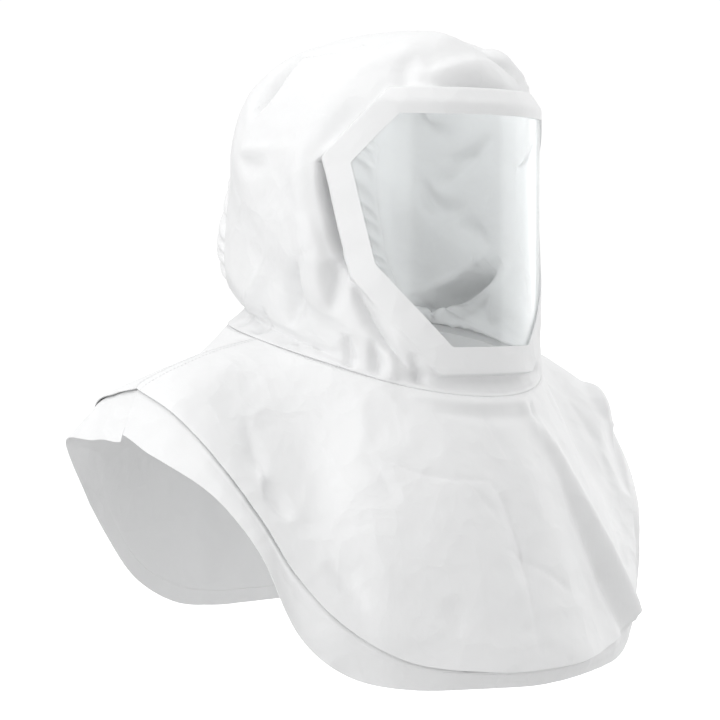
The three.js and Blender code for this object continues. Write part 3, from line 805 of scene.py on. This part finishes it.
class Value:
    """A shader socket that takes part in arithmetic. Each operator adds a Math node."""

    def __init__(self, nodes, socket):
        self.nodes = nodes
        self.socket = socket

    def math(self, operation, first, second=0.0):
        """The result of a Math node."""
        return self.nodes.add("ShaderNodeMath", {"operation": operation}, {0: first, 1: second})

    def __add__(self, other):
        return self.math("ADD", self, other)

    def __radd__(self, other):
        return self.math("ADD", other, self)

    def __sub__(self, other):
        return self.math("SUBTRACT", self, other)

    def __rsub__(self, other):
        return self.math("SUBTRACT", other, self)

    def __mul__(self, other):
        return self.math("MULTIPLY", self, other)

    def __rmul__(self, other):
        return self.math("MULTIPLY", other, self)

    def __pow__(self, other):
        return self.math("POWER", self, other)


class Nodes:
    """The node tree of a material or of the world."""

    def __init__(self, owner):
        owner.use_nodes = True
        self.tree = owner.node_tree
        self.tree.nodes.clear()

    def add(self, kind, settings=None, sockets=None, out=0):
        """Adds a node: its settings first, then its sockets' values or links."""
        made = self.tree.nodes.new(kind)
        for name, value in (settings or {}).items():
            setattr(made, name, value)
        for name, value in (sockets or {}).items():
            if isinstance(value, Value):
                self.tree.links.new(value.socket, made.inputs[name])
            else:
                made.inputs[name].default_value = value
        return Value(self, made.outputs[out]) if len(made.outputs) else None

    def noise(self, scale, detail=2.0, rough=0.5, distortion=0.0):
        """Noise from 0 to 1 on Object coordinates, with a number of lumps to the metre."""
        place = self.add("ShaderNodeTexCoord", out="Object")
        sockets = {"Vector": place, "Scale": scale, "Detail": detail}
        sockets |= {"Roughness": rough, "Distortion": distortion}
        return self.add("ShaderNodeTexNoise", None, sockets)

    def blend(self, factor, first, second):
        """A colour between two."""
        return self.add("ShaderNodeMix", {"data_type": "RGBA"}, {0: factor, 6: first, 7: second}, out=2)

    def bump(self, height, distance, below=None):
        """A bump of a height in metres, on top of another one if given."""
        sockets = {"Height": height, "Distance": distance}
        if below is not None:
            sockets["Normal"] = below
        return self.add("ShaderNodeBump", None, sockets)


def opaque(colour):
    """A colour with an alpha of 1."""
    return (*colour, 1.0)


# Nonwoven: how far its facets are swayed, in metres, their numbers to the metre, the share of the finer
# ones, the shares of mottling and fibres in the colour and in the roughness, and its gloss
FACET_SWAY = 0.05
FACET_SCALES = (34, 80)
FINE_FACET_SHARE = 0.45
MOTTLE_IN_COLOUR = 0.7
FIBRE_IN_COLOUR = 0.3
MOTTLE_IN_ROUGHNESS = 0.12
FIBRE_IN_ROUGHNESS = 0.1
NONWOVEN_GLOSS = 0.45

# Clear sheet and thread
SMEAR_IN_ROUGHNESS = 0.03
GRAZING_POWER = 4
THREAD_SHADE = 0.9
THREAD_ROUGHNESS = 0.5
TWIST_IN_ROUGHNESS = 0.2
TWIST_DEPTH = 0.0001


def nonwoven_material(name, colour, look):
    """White coated nonwoven: a satin film over fine fibres, with faint crinkles and mottling."""
    material = bpy.data.materials.new(name)
    nodes = Nodes(material)
    mottle = nodes.noise(scale=34, detail=3)
    fibre = nodes.noise(scale=1500, detail=3, rough=0.6, distortion=1.5)
    place = nodes.add("ShaderNodeTexCoord", out="Object")
    sway = nodes.noise(scale=14, detail=3)
    swayed = {0: sway, 1: (FACET_SWAY,) * 3, 2: place}
    bend = nodes.add("ShaderNodeVectorMath", {"operation": "MULTIPLY_ADD"}, swayed)
    wide, fine = (
        nodes.add("ShaderNodeTexVoronoi", None, {"Vector": bend, "Scale": scale}) for scale in FACET_SCALES
    )
    crinkle = wide + FINE_FACET_SHARE * fine * nodes.noise(scale=12)
    pale = opaque(colour)
    dull = opaque([c * look.mottle_shade for c in colour])
    bump = nodes.bump(crinkle, look.crinkle_depth)
    bump = nodes.bump(fibre, look.fibre_depth, below=bump)
    rough = look.roughness + MOTTLE_IN_ROUGHNESS * (mottle - 0.5) + FIBRE_IN_ROUGHNESS * (fibre - 0.5)
    shader = nodes.add(
        "ShaderNodeBsdfPrincipled",
        None,
        {
            "Base Color": nodes.blend(mottle * MOTTLE_IN_COLOUR + fibre * FIBRE_IN_COLOUR, dull, pale),
            "Roughness": rough,
            "Normal": bump,
            "Specular IOR Level": NONWOVEN_GLOSS,
        },
    )
    nodes.add("ShaderNodeOutputMaterial", None, {"Surface": shader})
    return material


def clear_sheet_material(look):
    """Clear glossy sheet: almost all light passes, and more is mirrored at grazing angles."""
    material = bpy.data.materials.new("clear_sheet")
    nodes = Nodes(material)
    smear = nodes.noise(scale=45, detail=3)
    gloss = nodes.add(
        "ShaderNodeBsdfPrincipled",
        None,
        {
            "Base Color": opaque(look.tint),
            "Roughness": look.gloss_roughness + SMEAR_IN_ROUGHNESS * smear,
            "Metallic": 1.0,
        },
    )
    passed = nodes.add("ShaderNodeBsdfTransparent", None, {"Color": opaque(look.tint)})
    grazing = nodes.add("ShaderNodeLayerWeight", None, {"Blend": 0.5}, out="Facing")
    mirrored = look.mirror + (1 - look.mirror) * grazing**GRAZING_POWER
    mixed = nodes.add("ShaderNodeMixShader", None, {0: mirrored, 1: passed, 2: gloss})
    nodes.add("ShaderNodeOutputMaterial", None, {"Surface": mixed})
    return material


def thread_material(look):
    """White polyester thread with a fine twist."""
    material = bpy.data.materials.new("white_thread")
    nodes = Nodes(material)
    twist = nodes.noise(scale=2600, detail=2)
    pale = opaque(look.colour)
    dull = opaque([c * THREAD_SHADE for c in look.colour])
    shader = nodes.add(
        "ShaderNodeBsdfPrincipled",
        None,
        {
            "Base Color": nodes.blend(twist, dull, pale),
            "Roughness": THREAD_ROUGHNESS + TWIST_IN_ROUGHNESS * twist,
            "Normal": nodes.bump(twist, TWIST_DEPTH),
        },
    )
    nodes.add("ShaderNodeOutputMaterial", None, {"Surface": shader})
    return material


def named_material(name, make, *arguments):
    """A material that is made once."""
    return bpy.data.materials.get(name) or make(*arguments)


NEAR = 1e-6
MERGE_DISTANCE = 1e-5


def object_from(mesh, name, material):
    """A bmesh as an object at the origin."""
    data = bpy.data.meshes.new(name)
    mesh.to_mesh(data)
    mesh.free()
    data.materials.append(material)
    piece = bpy.data.objects.new(name, data)
    bpy.context.scene.collection.objects.link(piece)
    return piece


def lay_out(mesh, layer, place):
    """Makes a flat mesh's faces smooth, and keeps where its corners lie as its UV map."""
    for face in mesh.faces:
        face.smooth = True
        for loop in face.loops:
            loop[layer].uv = place(loop.vert.co)


def walled(mesh, name, material, wall, offset):
    """A sheet's mesh as an object with a wall, whose open edges are sharp."""
    for edge in mesh.edges:
        edge.smooth = not edge.is_boundary
    piece = object_from(mesh, name, material)
    thick = piece.modifiers.new("wall", "SOLIDIFY")
    thick.thickness = wall
    thick.offset = offset
    return piece


def sheet_object(name, cloth, grid, wall, material, closed=False, is_hole=None):
    """A sheet of cloth: a flat grid, with its own UV map, whose points move onto the cloth."""
    mesh = bmesh.new()
    layer = mesh.loops.layers.uv.new("cloth")
    bmesh.ops.create_grid(mesh, x_segments=grid[0], y_segments=grid[1], size=0.5)
    bmesh.ops.translate(mesh, verts=mesh.verts, vec=(0.5, 0.5, 0))
    if is_hole:
        gone = [face for face in mesh.faces if is_hole(*face.calc_center_median().xy)]
        bmesh.ops.delete(mesh, geom=gone, context="FACES")
    lay_out(mesh, layer, lambda corner: corner.xy)
    u = np.array([vertex.co.x for vertex in mesh.verts])
    v = np.array([vertex.co.y for vertex in mesh.verts])
    ends = [vertex for vertex in mesh.verts if min(vertex.co.x, 1 - vertex.co.x) < NEAR]
    for vertex, point in zip(mesh.verts, cloth.points(u, v)):
        vertex.co = point
    if closed:
        bmesh.ops.remove_doubles(mesh, verts=ends, dist=MERGE_DISTANCE)
    return walled(mesh, name, material, wall, 0)


def fit(piece, slot, *nodes):
    """Gives a piece its body and hides the imported parts that it stands for. The slot is not used."""
    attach(piece, "root")
    if nodes:
        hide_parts(*nodes)


class ClothSettings(PropertyGroup):
    """Fabric of the hood and the bibs."""

    wall: FloatProperty(
        name="Thickness", description="Thickness of the fabric", default=0.0009, unit="LENGTH"
    )
    colour: FloatVectorProperty(
        name="Colour", description="Colour of the fabric", default=(0.8, 0.803, 0.806), subtype="COLOR"
    )
    mottle_shade: FloatProperty(
        name="Mottling", description="Share of the colour in duller spots", default=0.965, subtype="FACTOR"
    )
    roughness: FloatProperty(
        name="Roughness", description="Roughness of the coating", default=0.5, subtype="FACTOR"
    )
    crumple_depth: FloatProperty(
        name="Crumples", description="Depth of soft crumples", default=0.0012, unit="LENGTH"
    )
    gather_depth: FloatProperty(
        name="Neck gathers", description="Depth of the gathers", default=0.0007, unit="LENGTH"
    )
    crinkle_depth: FloatProperty(
        name="Crinkles", description="Depth of fine crinkles", default=0.0015, unit="LENGTH"
    )
    fibre_depth: FloatProperty(
        name="Fibres", description="Depth of the fibres", default=0.00003, unit="LENGTH"
    )


class VisorSettings(PropertyGroup):
    """Clear sheet of the visor."""

    wall: FloatProperty(
        name="Thickness", description="Thickness of the sheet", default=0.001, unit="LENGTH"
    )
    seat_gap: FloatProperty(
        name="Seat gap", description="Gap between sheet and border", default=0.0007, unit="LENGTH"
    )
    tint: FloatVectorProperty(
        name="Tint", description="Colour of light that passes", default=(0.97, 0.98, 0.98), subtype="COLOR"
    )
    mirror: FloatProperty(
        name="Mirror", description="Share of light mirrored head on", default=0.045, subtype="FACTOR"
    )
    gloss_roughness: FloatProperty(
        name="Roughness", description="Roughness of the gloss", default=0.19, subtype="FACTOR"
    )


class StitchSettings(PropertyGroup):
    """Sewing thread of the seams."""

    pitch: FloatProperty(
        name="Pitch", description="From one stitch to the next", default=0.0036, unit="LENGTH"
    )
    length: FloatProperty(
        name="Length", description="Length of one stitch", default=0.0026, unit="LENGTH"
    )
    radius: FloatProperty(
        name="Radius", description="Radius of the thread", default=0.00022, unit="LENGTH"
    )
    colour: FloatVectorProperty(
        name="Colour", description="Colour of the thread", default=(0.77, 0.77, 0.775), subtype="COLOR"
    )


class StageSettings(PropertyGroup):
    """Camera, floor and light."""

    azimuth: FloatProperty(
        name="Azimuth", description="Camera's turn", default=math.radians(-42), subtype="ANGLE"
    )
    elevation: FloatProperty(
        name="Elevation", description="Camera's height", default=math.radians(2), subtype="ANGLE"
    )
    distance: FloatProperty(
        name="Distance", description="From camera to target", default=2.2, unit="LENGTH"
    )
    lens: FloatProperty(
        name="Lens", description="Focal length in millimetres", default=130.95, subtype="DISTANCE_CAMERA"
    )
    target: FloatVectorProperty(
        name="Target",
        description="What the camera looks at",
        default=(-0.0119, 0.0107, -0.27),
        unit="LENGTH",
    )
    floor_drop: FloatProperty(
        name="Floor drop", description="Floor's depth below the hems", default=0.45, unit="LENGTH"
    )
    ambient: FloatProperty(name="Ambient light", description="Even light from all round", default=0.78)
    slope: FloatProperty(name="Light slope", description="How much the light changes", default=0.53)
    key_power: FloatProperty(
        name="Key light", description="Power of the wide softbox", default=28.4, unit="POWER"
    )
    front_power: FloatProperty(
        name="Front light", description="Power of the softbox beside the camera", default=13.5, unit="POWER"
    )
    top_power: FloatProperty(
        name="Top light", description="Power of the softbox overhead", default=16, unit="POWER"
    )
    rim_power: FloatProperty(
        name="Rim light", description="Power of the softbox on the right", default=11.4, unit="POWER"
    )
    panel_power: FloatProperty(
        name="Panel light", description="Power of the mirrored panel", default=20, unit="POWER"
    )
    glow_power: FloatProperty(
        name="Inner glow", description="Power of light through the cloth", default=0.22, unit="POWER"
    )


class RespiratorHoodSettings(PropertyGroup):
    """Sizes and colours that a user would change."""

    cloth: PointerProperty(type=ClothSettings)
    visor: PointerProperty(type=VisorSettings)
    stitch: PointerProperty(type=StitchSettings)
    stage: PointerProperty(type=StageSettings)


def settings():
    """The scene's settings."""
    return bpy.context.scene.respirator_hood


# Squares across and down each sheet
HOOD_GRID = (264, 176)
BACK_GRID = (120, 80)
FRONT_GRID = (280, 120)
SIDE_GRID = (200, 90)
VISOR_GRID = (72, 32)
CUT_DISTANCE = 1e-4


class RESPIRATOR_HOOD_OT_hood(Operator):
    """Makes the hood's cloth and the gathered panel at its back"""

    bl_idname = "respirator_hood.make_hood"
    bl_label = "Hood and back panel"

    def execute(self, context):
        look = settings().cloth
        fabric = named_material("hood_nonwoven", nonwoven_material, "hood_nonwoven", look.colour, look)
        low, high = BACK_SIDES
        top, bottom = BACK_ENDS

        def is_hole(u, v):
            return low < u < high and top < v < bottom

        cloth = hood_cloth(look)
        hood = sheet_object("hood_cloth", cloth, HOOD_GRID, look.wall, fabric, True, is_hole)
        fit(hood, "hood_fabric", "hood_main")
        panel = sheet_object("back_panel_cloth", back_panel_cloth(look), BACK_GRID, look.wall, fabric)
        fit(panel, "hood_fabric", "back_panel")
        return {"FINISHED"}


class RESPIRATOR_HOOD_OT_visor(Operator):
    """Makes the clear octagonal visor, cut flat and bent"""

    bl_idname = "respirator_hood.make_visor"
    bl_label = "Visor"

    def execute(self, context):
        look = settings().visor
        corner = np.stack([WINDOW["arc"], WINDOW["z"]], 1) + LENS_MARGIN * WINDOW_LEANS
        middle = (corner[0, 1] + corner[-1, 1]) / 2
        half_arc = corner[:, 0].max()
        half_height = (corner[-1, 1] - corner[0, 1]) / 2
        mesh = bmesh.new()
        layer = mesh.loops.layers.uv.new("sheet")
        bmesh.ops.create_grid(mesh, x_segments=VISOR_GRID[0], y_segments=VISOR_GRID[1], size=1)
        bmesh.ops.scale(mesh, verts=mesh.verts, vec=(half_arc, half_height, 1))
        bmesh.ops.translate(mesh, verts=mesh.verts, vec=(0, middle, 0))
        for start, end in zip(corner[1:-2], corner[2:-1]):
            for side in (1, -1):
                bmesh.ops.bisect_plane(
                    mesh,
                    geom=[*mesh.verts, *mesh.edges, *mesh.faces],
                    dist=CUT_DISTANCE,
                    plane_co=(side * start[0], start[1], 0),
                    plane_no=(side * (end[1] - start[1]), start[0] - end[0], 0),
                    clear_outer=True,
                )
        lay_out(mesh, layer, lambda at: (at.x / half_arc, (at.y - middle) / half_height))
        radius = LENS_RADIUS - (settings().cloth.wall / 2 + look.seat_gap) / MM
        for vertex in mesh.verts:
            vertex.co = bent(vertex.co.x, vertex.co.y, radius) * MM
        clear = named_material("clear_sheet", clear_sheet_material, look)
        piece = walled(mesh, "visor_sheet", clear, look.wall, -1)
        fit(piece, "visor_sheet", "visor")
        return {"FINISHED"}


class RESPIRATOR_HOOD_OT_bibs(Operator):
    """Makes the outer and the inner bib, each of a front and a back panel"""

    bl_idname = "respirator_hood.make_bibs"
    bl_label = "Double bib"

    PANELS = (
        ("outer_bib_front", FRONT_BIB, -1, False, FRONT_GRID, (0.89, 0.22), 0.12),
        ("outer_bib_back", BACK_BIB, 1, False, SIDE_GRID, (0.79, 0.24), 0.11),
        ("inner_bib_front", FRONT_BIB, -1, True, SIDE_GRID, (0.90, 0.24), 0.14),
        ("inner_bib_back", BACK_BIB, 1, True, SIDE_GRID, (0.82, 0.26), 0.127),
    )

    def execute(self, context):
        look = settings().cloth
        fabric = named_material("bib_nonwoven", nonwoven_material, "bib_nonwoven", look.colour, look)
        for node, bib, facing, is_inner, grid, flat, area in self.PANELS:
            cloth = bib_cloth(bib, facing, is_inner, look)
            piece = sheet_object(f"{node}_cloth", cloth, grid, look.wall, fabric)
            fit(piece, "bib_fabric", node)
        return {"FINISHED"}


# Points that the crown's seam passes, on the wearer's right, from the back to the brow
CROWN_SEAM = ((-97, 47, -62), (-86, 40, -39), (-67, 29, -20), (-63, -3, -16), (-57, -44, -12))

# Stitch lines: their samples, the grid and the rows of the search for a place, the distance from the back
# panel's seams, in columns or rows, the places on a bib, and a stitch's shape
LINE_SAMPLES = 200
SEARCH_GRID = (321, 161)
SEARCH_ROWS = (0.08, 0.95)
BACK_STITCH_GAP = 0.15
NECK_STITCHES = 0.015
SHOULDER_STITCHES = (0.006, 0.994)
STITCH_RISE = 0.3
STITCH_SIDES = 6
STITCH_RINGS = 4


def nearest_places(cloth, points):
    """Where on a cloth's (u, v) the nearest spots to some points lie."""
    across = np.linspace(0, 1, SEARCH_GRID[0])
    down = np.linspace(*SEARCH_ROWS, SEARCH_GRID[1])
    u, v = (a.ravel() for a in np.meshgrid(across, down))
    spots = cloth.surface(u, v)
    best = [np.argmin(((spots - p) ** 2).sum(1)) for p in np.array(points, float)]
    return u[best], v[best]


def sew(mesh, cloth, u, v, wall, look):
    """Lays stitches along a line of (u, v) places on a cloth."""
    rough = cloth.points(u, v)
    run = np.concatenate([[0], np.cumsum(np.linalg.norm(np.diff(rough, axis=0), axis=1))])
    stops = np.arange(look.pitch / 2, run[-1], look.pitch)
    ends = []
    for shift in (-look.length / 2, look.length / 2):
        at = np.clip(stops + shift, 0, run[-1])
        ends.append(cloth.points(np.interp(at, run, u), np.interp(at, run, v)))
    normals = cloth.normals(np.interp(stops, run, u), np.interp(stops, run, v))
    for tail, tip, normal in zip(ends[0], ends[1], normals):
        along = Vector(tip - tail).normalized()
        out = Vector(normal)
        across = out.cross(along).normalized()
        out = along.cross(across)
        turn = Matrix((along, across, out)).transposed().to_4x4()
        middle = Vector((tail + tip) / 2) + out * (wall / 2 + look.radius * STITCH_RISE)
        size = Matrix.Diagonal((look.length / 2, look.radius, look.radius, 1))
        place = Matrix.Translation(middle) @ turn @ size
        bmesh.ops.create_uvsphere(
            mesh, u_segments=STITCH_SIDES, v_segments=STITCH_RINGS, radius=1, matrix=place
        )


class RESPIRATOR_HOOD_OT_stitches(Operator):
    """Sews the seams of the crown, the back panel, the neck and the shoulders"""

    bl_idname = "respirator_hood.make_stitches"
    bl_label = "Seam stitches"

    def execute(self, context):
        look = settings().stitch
        fabric = settings().cloth
        mesh = bmesh.new()
        hood = hood_cloth(fabric)
        line = np.linspace(0, 1, LINE_SAMPLES)
        u, v = nearest_places(hood, CROWN_SEAM)
        stops = np.linspace(0, 1, len(CROWN_SEAM))
        crown_u, crown_v = np.interp(line, stops, u), np.interp(line, stops, v)
        sew(mesh, hood, crown_u, crown_v, fabric.wall, look)
        sew(mesh, hood, 1 - crown_u, crown_v, fabric.wall, look)
        low, high = BACK_SIDES
        top, bottom = BACK_ENDS
        gap = BACK_STITCH_GAP
        for side in (low - gap / HOOD_COLUMNS, high + gap / HOOD_COLUMNS):
            sew(mesh, hood, np.full_like(line, side), mix(top, bottom, line), fabric.wall, look)
        for edge in (hood_v(BACK_ROWS[0] - gap), hood_v(BACK_ROWS[1] + gap)):
            sew(mesh, hood, mix(low, high, line), np.full_like(line, edge), fabric.wall, look)
        for bib, facing in ((FRONT_BIB, -1), (BACK_BIB, 1)):
            cloth = bib_cloth(bib, facing, False, fabric)
            sew(mesh, cloth, line, np.full_like(line, NECK_STITCHES), fabric.wall, look)
            for seam in SHOULDER_STITCHES:
                sew(mesh, cloth, np.full_like(line, seam), line, fabric.wall, look)
        for face in mesh.faces:
            face.smooth = True
        piece = object_from(mesh, "seam_stitches", named_material("white_thread", thread_material, look))
        fit(piece, "bib_fabric")
        return {"FINISHED"}


def aimed(place, target):
    """The turn of a light or camera at a place that looks at a target."""
    return (Vector(target) - Vector(place)).to_track_quat("-Z", "Y").to_euler()


SENSOR_WIDTH = 36.0

# Directions and places from the target, in metres back to the camera, to its right and up
LIGHT_SLANT = (-0.3, 0.14, 0.42)
SOFTBOXES = (
    # name, place, size, the setting of its power, and the rays that it isn't seen by
    ("top_softbox", (0.1, -0.5, 2.2), (2.4, 2.4), "top_power", None),
    ("wide_softbox", (1.6, -1.7, 1.0), (5.0, 3.0), "key_power", None),
    ("side_softbox", (-0.86, 1.66, 0.3), (2.0, 1.7), "rim_power", None),
    ("front_softbox", (1.9, -1.3, 0.3), (3.0, 2.0), "front_power", "visible_glossy"),
    ("mirrored_panel", (2.9, -0.73, 0.0), (2.9, 1.5), "panel_power", "visible_diffuse"),
)
GLOW_PLACE = (0.0, -0.02, -0.07)
GLOW_RADIUS = 0.06

# Floor, whose far part is white to the camera, and the world's light
FLOOR_HALF_SIZE = 40.0
FLOOR_GREYS = (0.6, 0.63)
FLOOR_ROUGHNESS = 0.9
FLOOR_FADE = (1.0, 2.4)
FLOOR_GLOW = 0.8
BACKDROP = 1.05
MIRRORED_FALL = 0.35


def grey(level):
    """A grey with an alpha of 1."""
    return opaque((level,) * 3)


class RESPIRATOR_HOOD_OT_stage(Operator):
    """Makes the camera, the pale floor and the soft studio light"""

    bl_idname = "respirator_hood.make_stage"
    bl_label = "Camera, floor and light"

    def execute(self, context):
        look = settings().stage
        scene = context.scene
        back = Vector(
            (
                math.sin(look.azimuth) * math.cos(look.elevation),
                -math.cos(look.azimuth) * math.cos(look.elevation),
                math.sin(look.elevation),
            )
        )
        right = Vector((math.cos(look.azimuth), math.sin(look.azimuth), 0))
        up = Vector((0, 0, 1))
        target = Vector(look.target)
        camera = bpy.data.objects.new("camera", bpy.data.cameras.new("camera"))
        camera.data.lens = look.lens
        camera.data.sensor_width = SENSOR_WIDTH
        camera.location = target + back * look.distance
        camera.rotation_euler = aimed(camera.location, target)
        scene.collection.objects.link(camera)
        scene.camera = camera
        self.floor(CAD_LOW.z - look.floor_drop)

        def from_camera(place):
            return place[0] * back + place[1] * right + place[2] * up

        self.world(scene, look, from_camera(LIGHT_SLANT).normalized(), back)
        for name, place, size, power, unseen_by in SOFTBOXES:
            light = self.softbox(name, target + from_camera(place), target, size, getattr(look, power))
            if unseen_by:
                setattr(light, unseen_by, False)
        self.inner_glow(look.glow_power)
        scene.view_settings.view_transform = "Standard"
        return {"FINISHED"}

    def floor(self, height):
        """A pale floor, whose far part is white to the camera."""
        material = bpy.data.materials.new("pale_floor")
        nodes = Nodes(material)
        dust = nodes.noise(scale=3, detail=4)
        place = nodes.add("ShaderNodeTexCoord", out="Object")
        away = nodes.add("ShaderNodeVectorMath", {"operation": "LENGTH"}, {0: place}, out="Value")
        far = nodes.add(
            "ShaderNodeMapRange",
            {"interpolation_type": "SMOOTHSTEP"},
            {"Value": away, "From Min": FLOOR_FADE[0], "From Max": FLOOR_FADE[1]},
        )
        seen = nodes.add("ShaderNodeLightPath", out="Is Camera Ray")
        shader = nodes.add(
            "ShaderNodeBsdfPrincipled",
            None,
            {
                "Base Color": nodes.blend(dust, *(grey(level) for level in FLOOR_GREYS)),
                "Roughness": FLOOR_ROUGHNESS,
                "Emission Color": nodes.blend(far * seen, grey(0), grey(FLOOR_GLOW)),
                "Emission Strength": 1.0,
            },
        )
        nodes.add("ShaderNodeOutputMaterial", None, {"Surface": shader})
        mesh = bmesh.new()
        bmesh.ops.create_grid(mesh, x_segments=4, y_segments=4, size=FLOOR_HALF_SIZE)
        bmesh.ops.translate(mesh, verts=mesh.verts, vec=(0, 0, height))
        object_from(mesh, "floor", material)

    def world(self, scene, look, toward, back):
        """Light from all round that grows to one side, with a white backdrop."""
        scene.world = bpy.data.worlds.new("studio")
        nodes = Nodes(scene.world)
        direction = nodes.add("ShaderNodeTexCoord", out="Generated")
        dot = {"operation": "DOT_PRODUCT"}
        slant = nodes.add("ShaderNodeVectorMath", dot, {0: direction, 1: toward}, out="Value")
        front = nodes.add("ShaderNodeVectorMath", dot, {0: direction, 1: back}, out="Value")
        matt = look.ambient + look.slope * slant
        shiny = nodes.add("ShaderNodeLightPath", out="Is Glossy Ray")
        strength = matt + shiny * (look.ambient - MIRRORED_FALL * front - matt)
        soft = nodes.add("ShaderNodeBackground", None, {"Strength": strength})
        white = nodes.add("ShaderNodeBackground", None, {"Color": grey(1), "Strength": BACKDROP})
        seen = nodes.add("ShaderNodeLightPath", out="Is Camera Ray")
        shown = nodes.add("ShaderNodeMixShader", None, {0: seen, 1: soft, 2: white})
        nodes.add("ShaderNodeOutputWorld", None, {"Surface": shown})

    def inner_glow(self, power):
        """A weak round light in the head space, for the daylight that thin white cloth lets through."""
        lamp = bpy.data.lights.new("inner_glow", "POINT")
        lamp.shadow_soft_size = GLOW_RADIUS
        lamp.energy = power
        light = bpy.data.objects.new("inner_glow", lamp)
        light.visible_camera = False
        light.visible_glossy = False
        light.location = GLOW_PLACE
        bpy.context.scene.collection.objects.link(light)

    def softbox(self, name, place, target, size, power):
        """A rectangular light that the camera doesn't see."""
        lamp = bpy.data.lights.new(name, "AREA")
        lamp.shape = "RECTANGLE"
        lamp.size, lamp.size_y = size
        lamp.energy = power
        light = bpy.data.objects.new(name, lamp)
        light.visible_camera = False
        light.location = place
        light.rotation_euler = aimed(place, target)
        bpy.context.scene.collection.objects.link(light)
        return light


OPERATORS = (
    RESPIRATOR_HOOD_OT_stage,
    RESPIRATOR_HOOD_OT_hood,
    RESPIRATOR_HOOD_OT_visor,
    RESPIRATOR_HOOD_OT_bibs,
    RESPIRATOR_HOOD_OT_stitches,
)


class VIEW3D_PT_respirator_hood(Panel):
    """Lists the steps that build the hood"""

    bl_label = "Respirator hood"
    bl_space_type = "VIEW_3D"
    bl_region_type = "UI"
    bl_category = "Hood"

    def draw(self, context):
        for operator in OPERATORS:
            self.layout.operator(operator.bl_idname)


CLASSES = (
    ClothSettings,
    VisorSettings,
    StitchSettings,
    StageSettings,
    RespiratorHoodSettings,
    *OPERATORS,
    VIEW3D_PT_respirator_hood,
)


def register():
    for cls in CLASSES:
        bpy.utils.register_class(cls)
    bpy.types.Scene.respirator_hood = PointerProperty(type=RespiratorHoodSettings)


def unregister():
    del bpy.types.Scene.respirator_hood
    for cls in reversed(CLASSES):
        bpy.utils.unregister_class(cls)


def main():
    """Builds the stage, the hood, the visor, the bibs and the seam stitches."""
    register()
    bpy.ops.respirator_hood.make_stage()
    bpy.ops.respirator_hood.make_hood()
    bpy.ops.respirator_hood.make_visor()
    bpy.ops.respirator_hood.make_bibs()
    bpy.ops.respirator_hood.make_stitches()


if __name__ == "__main__":
    main()
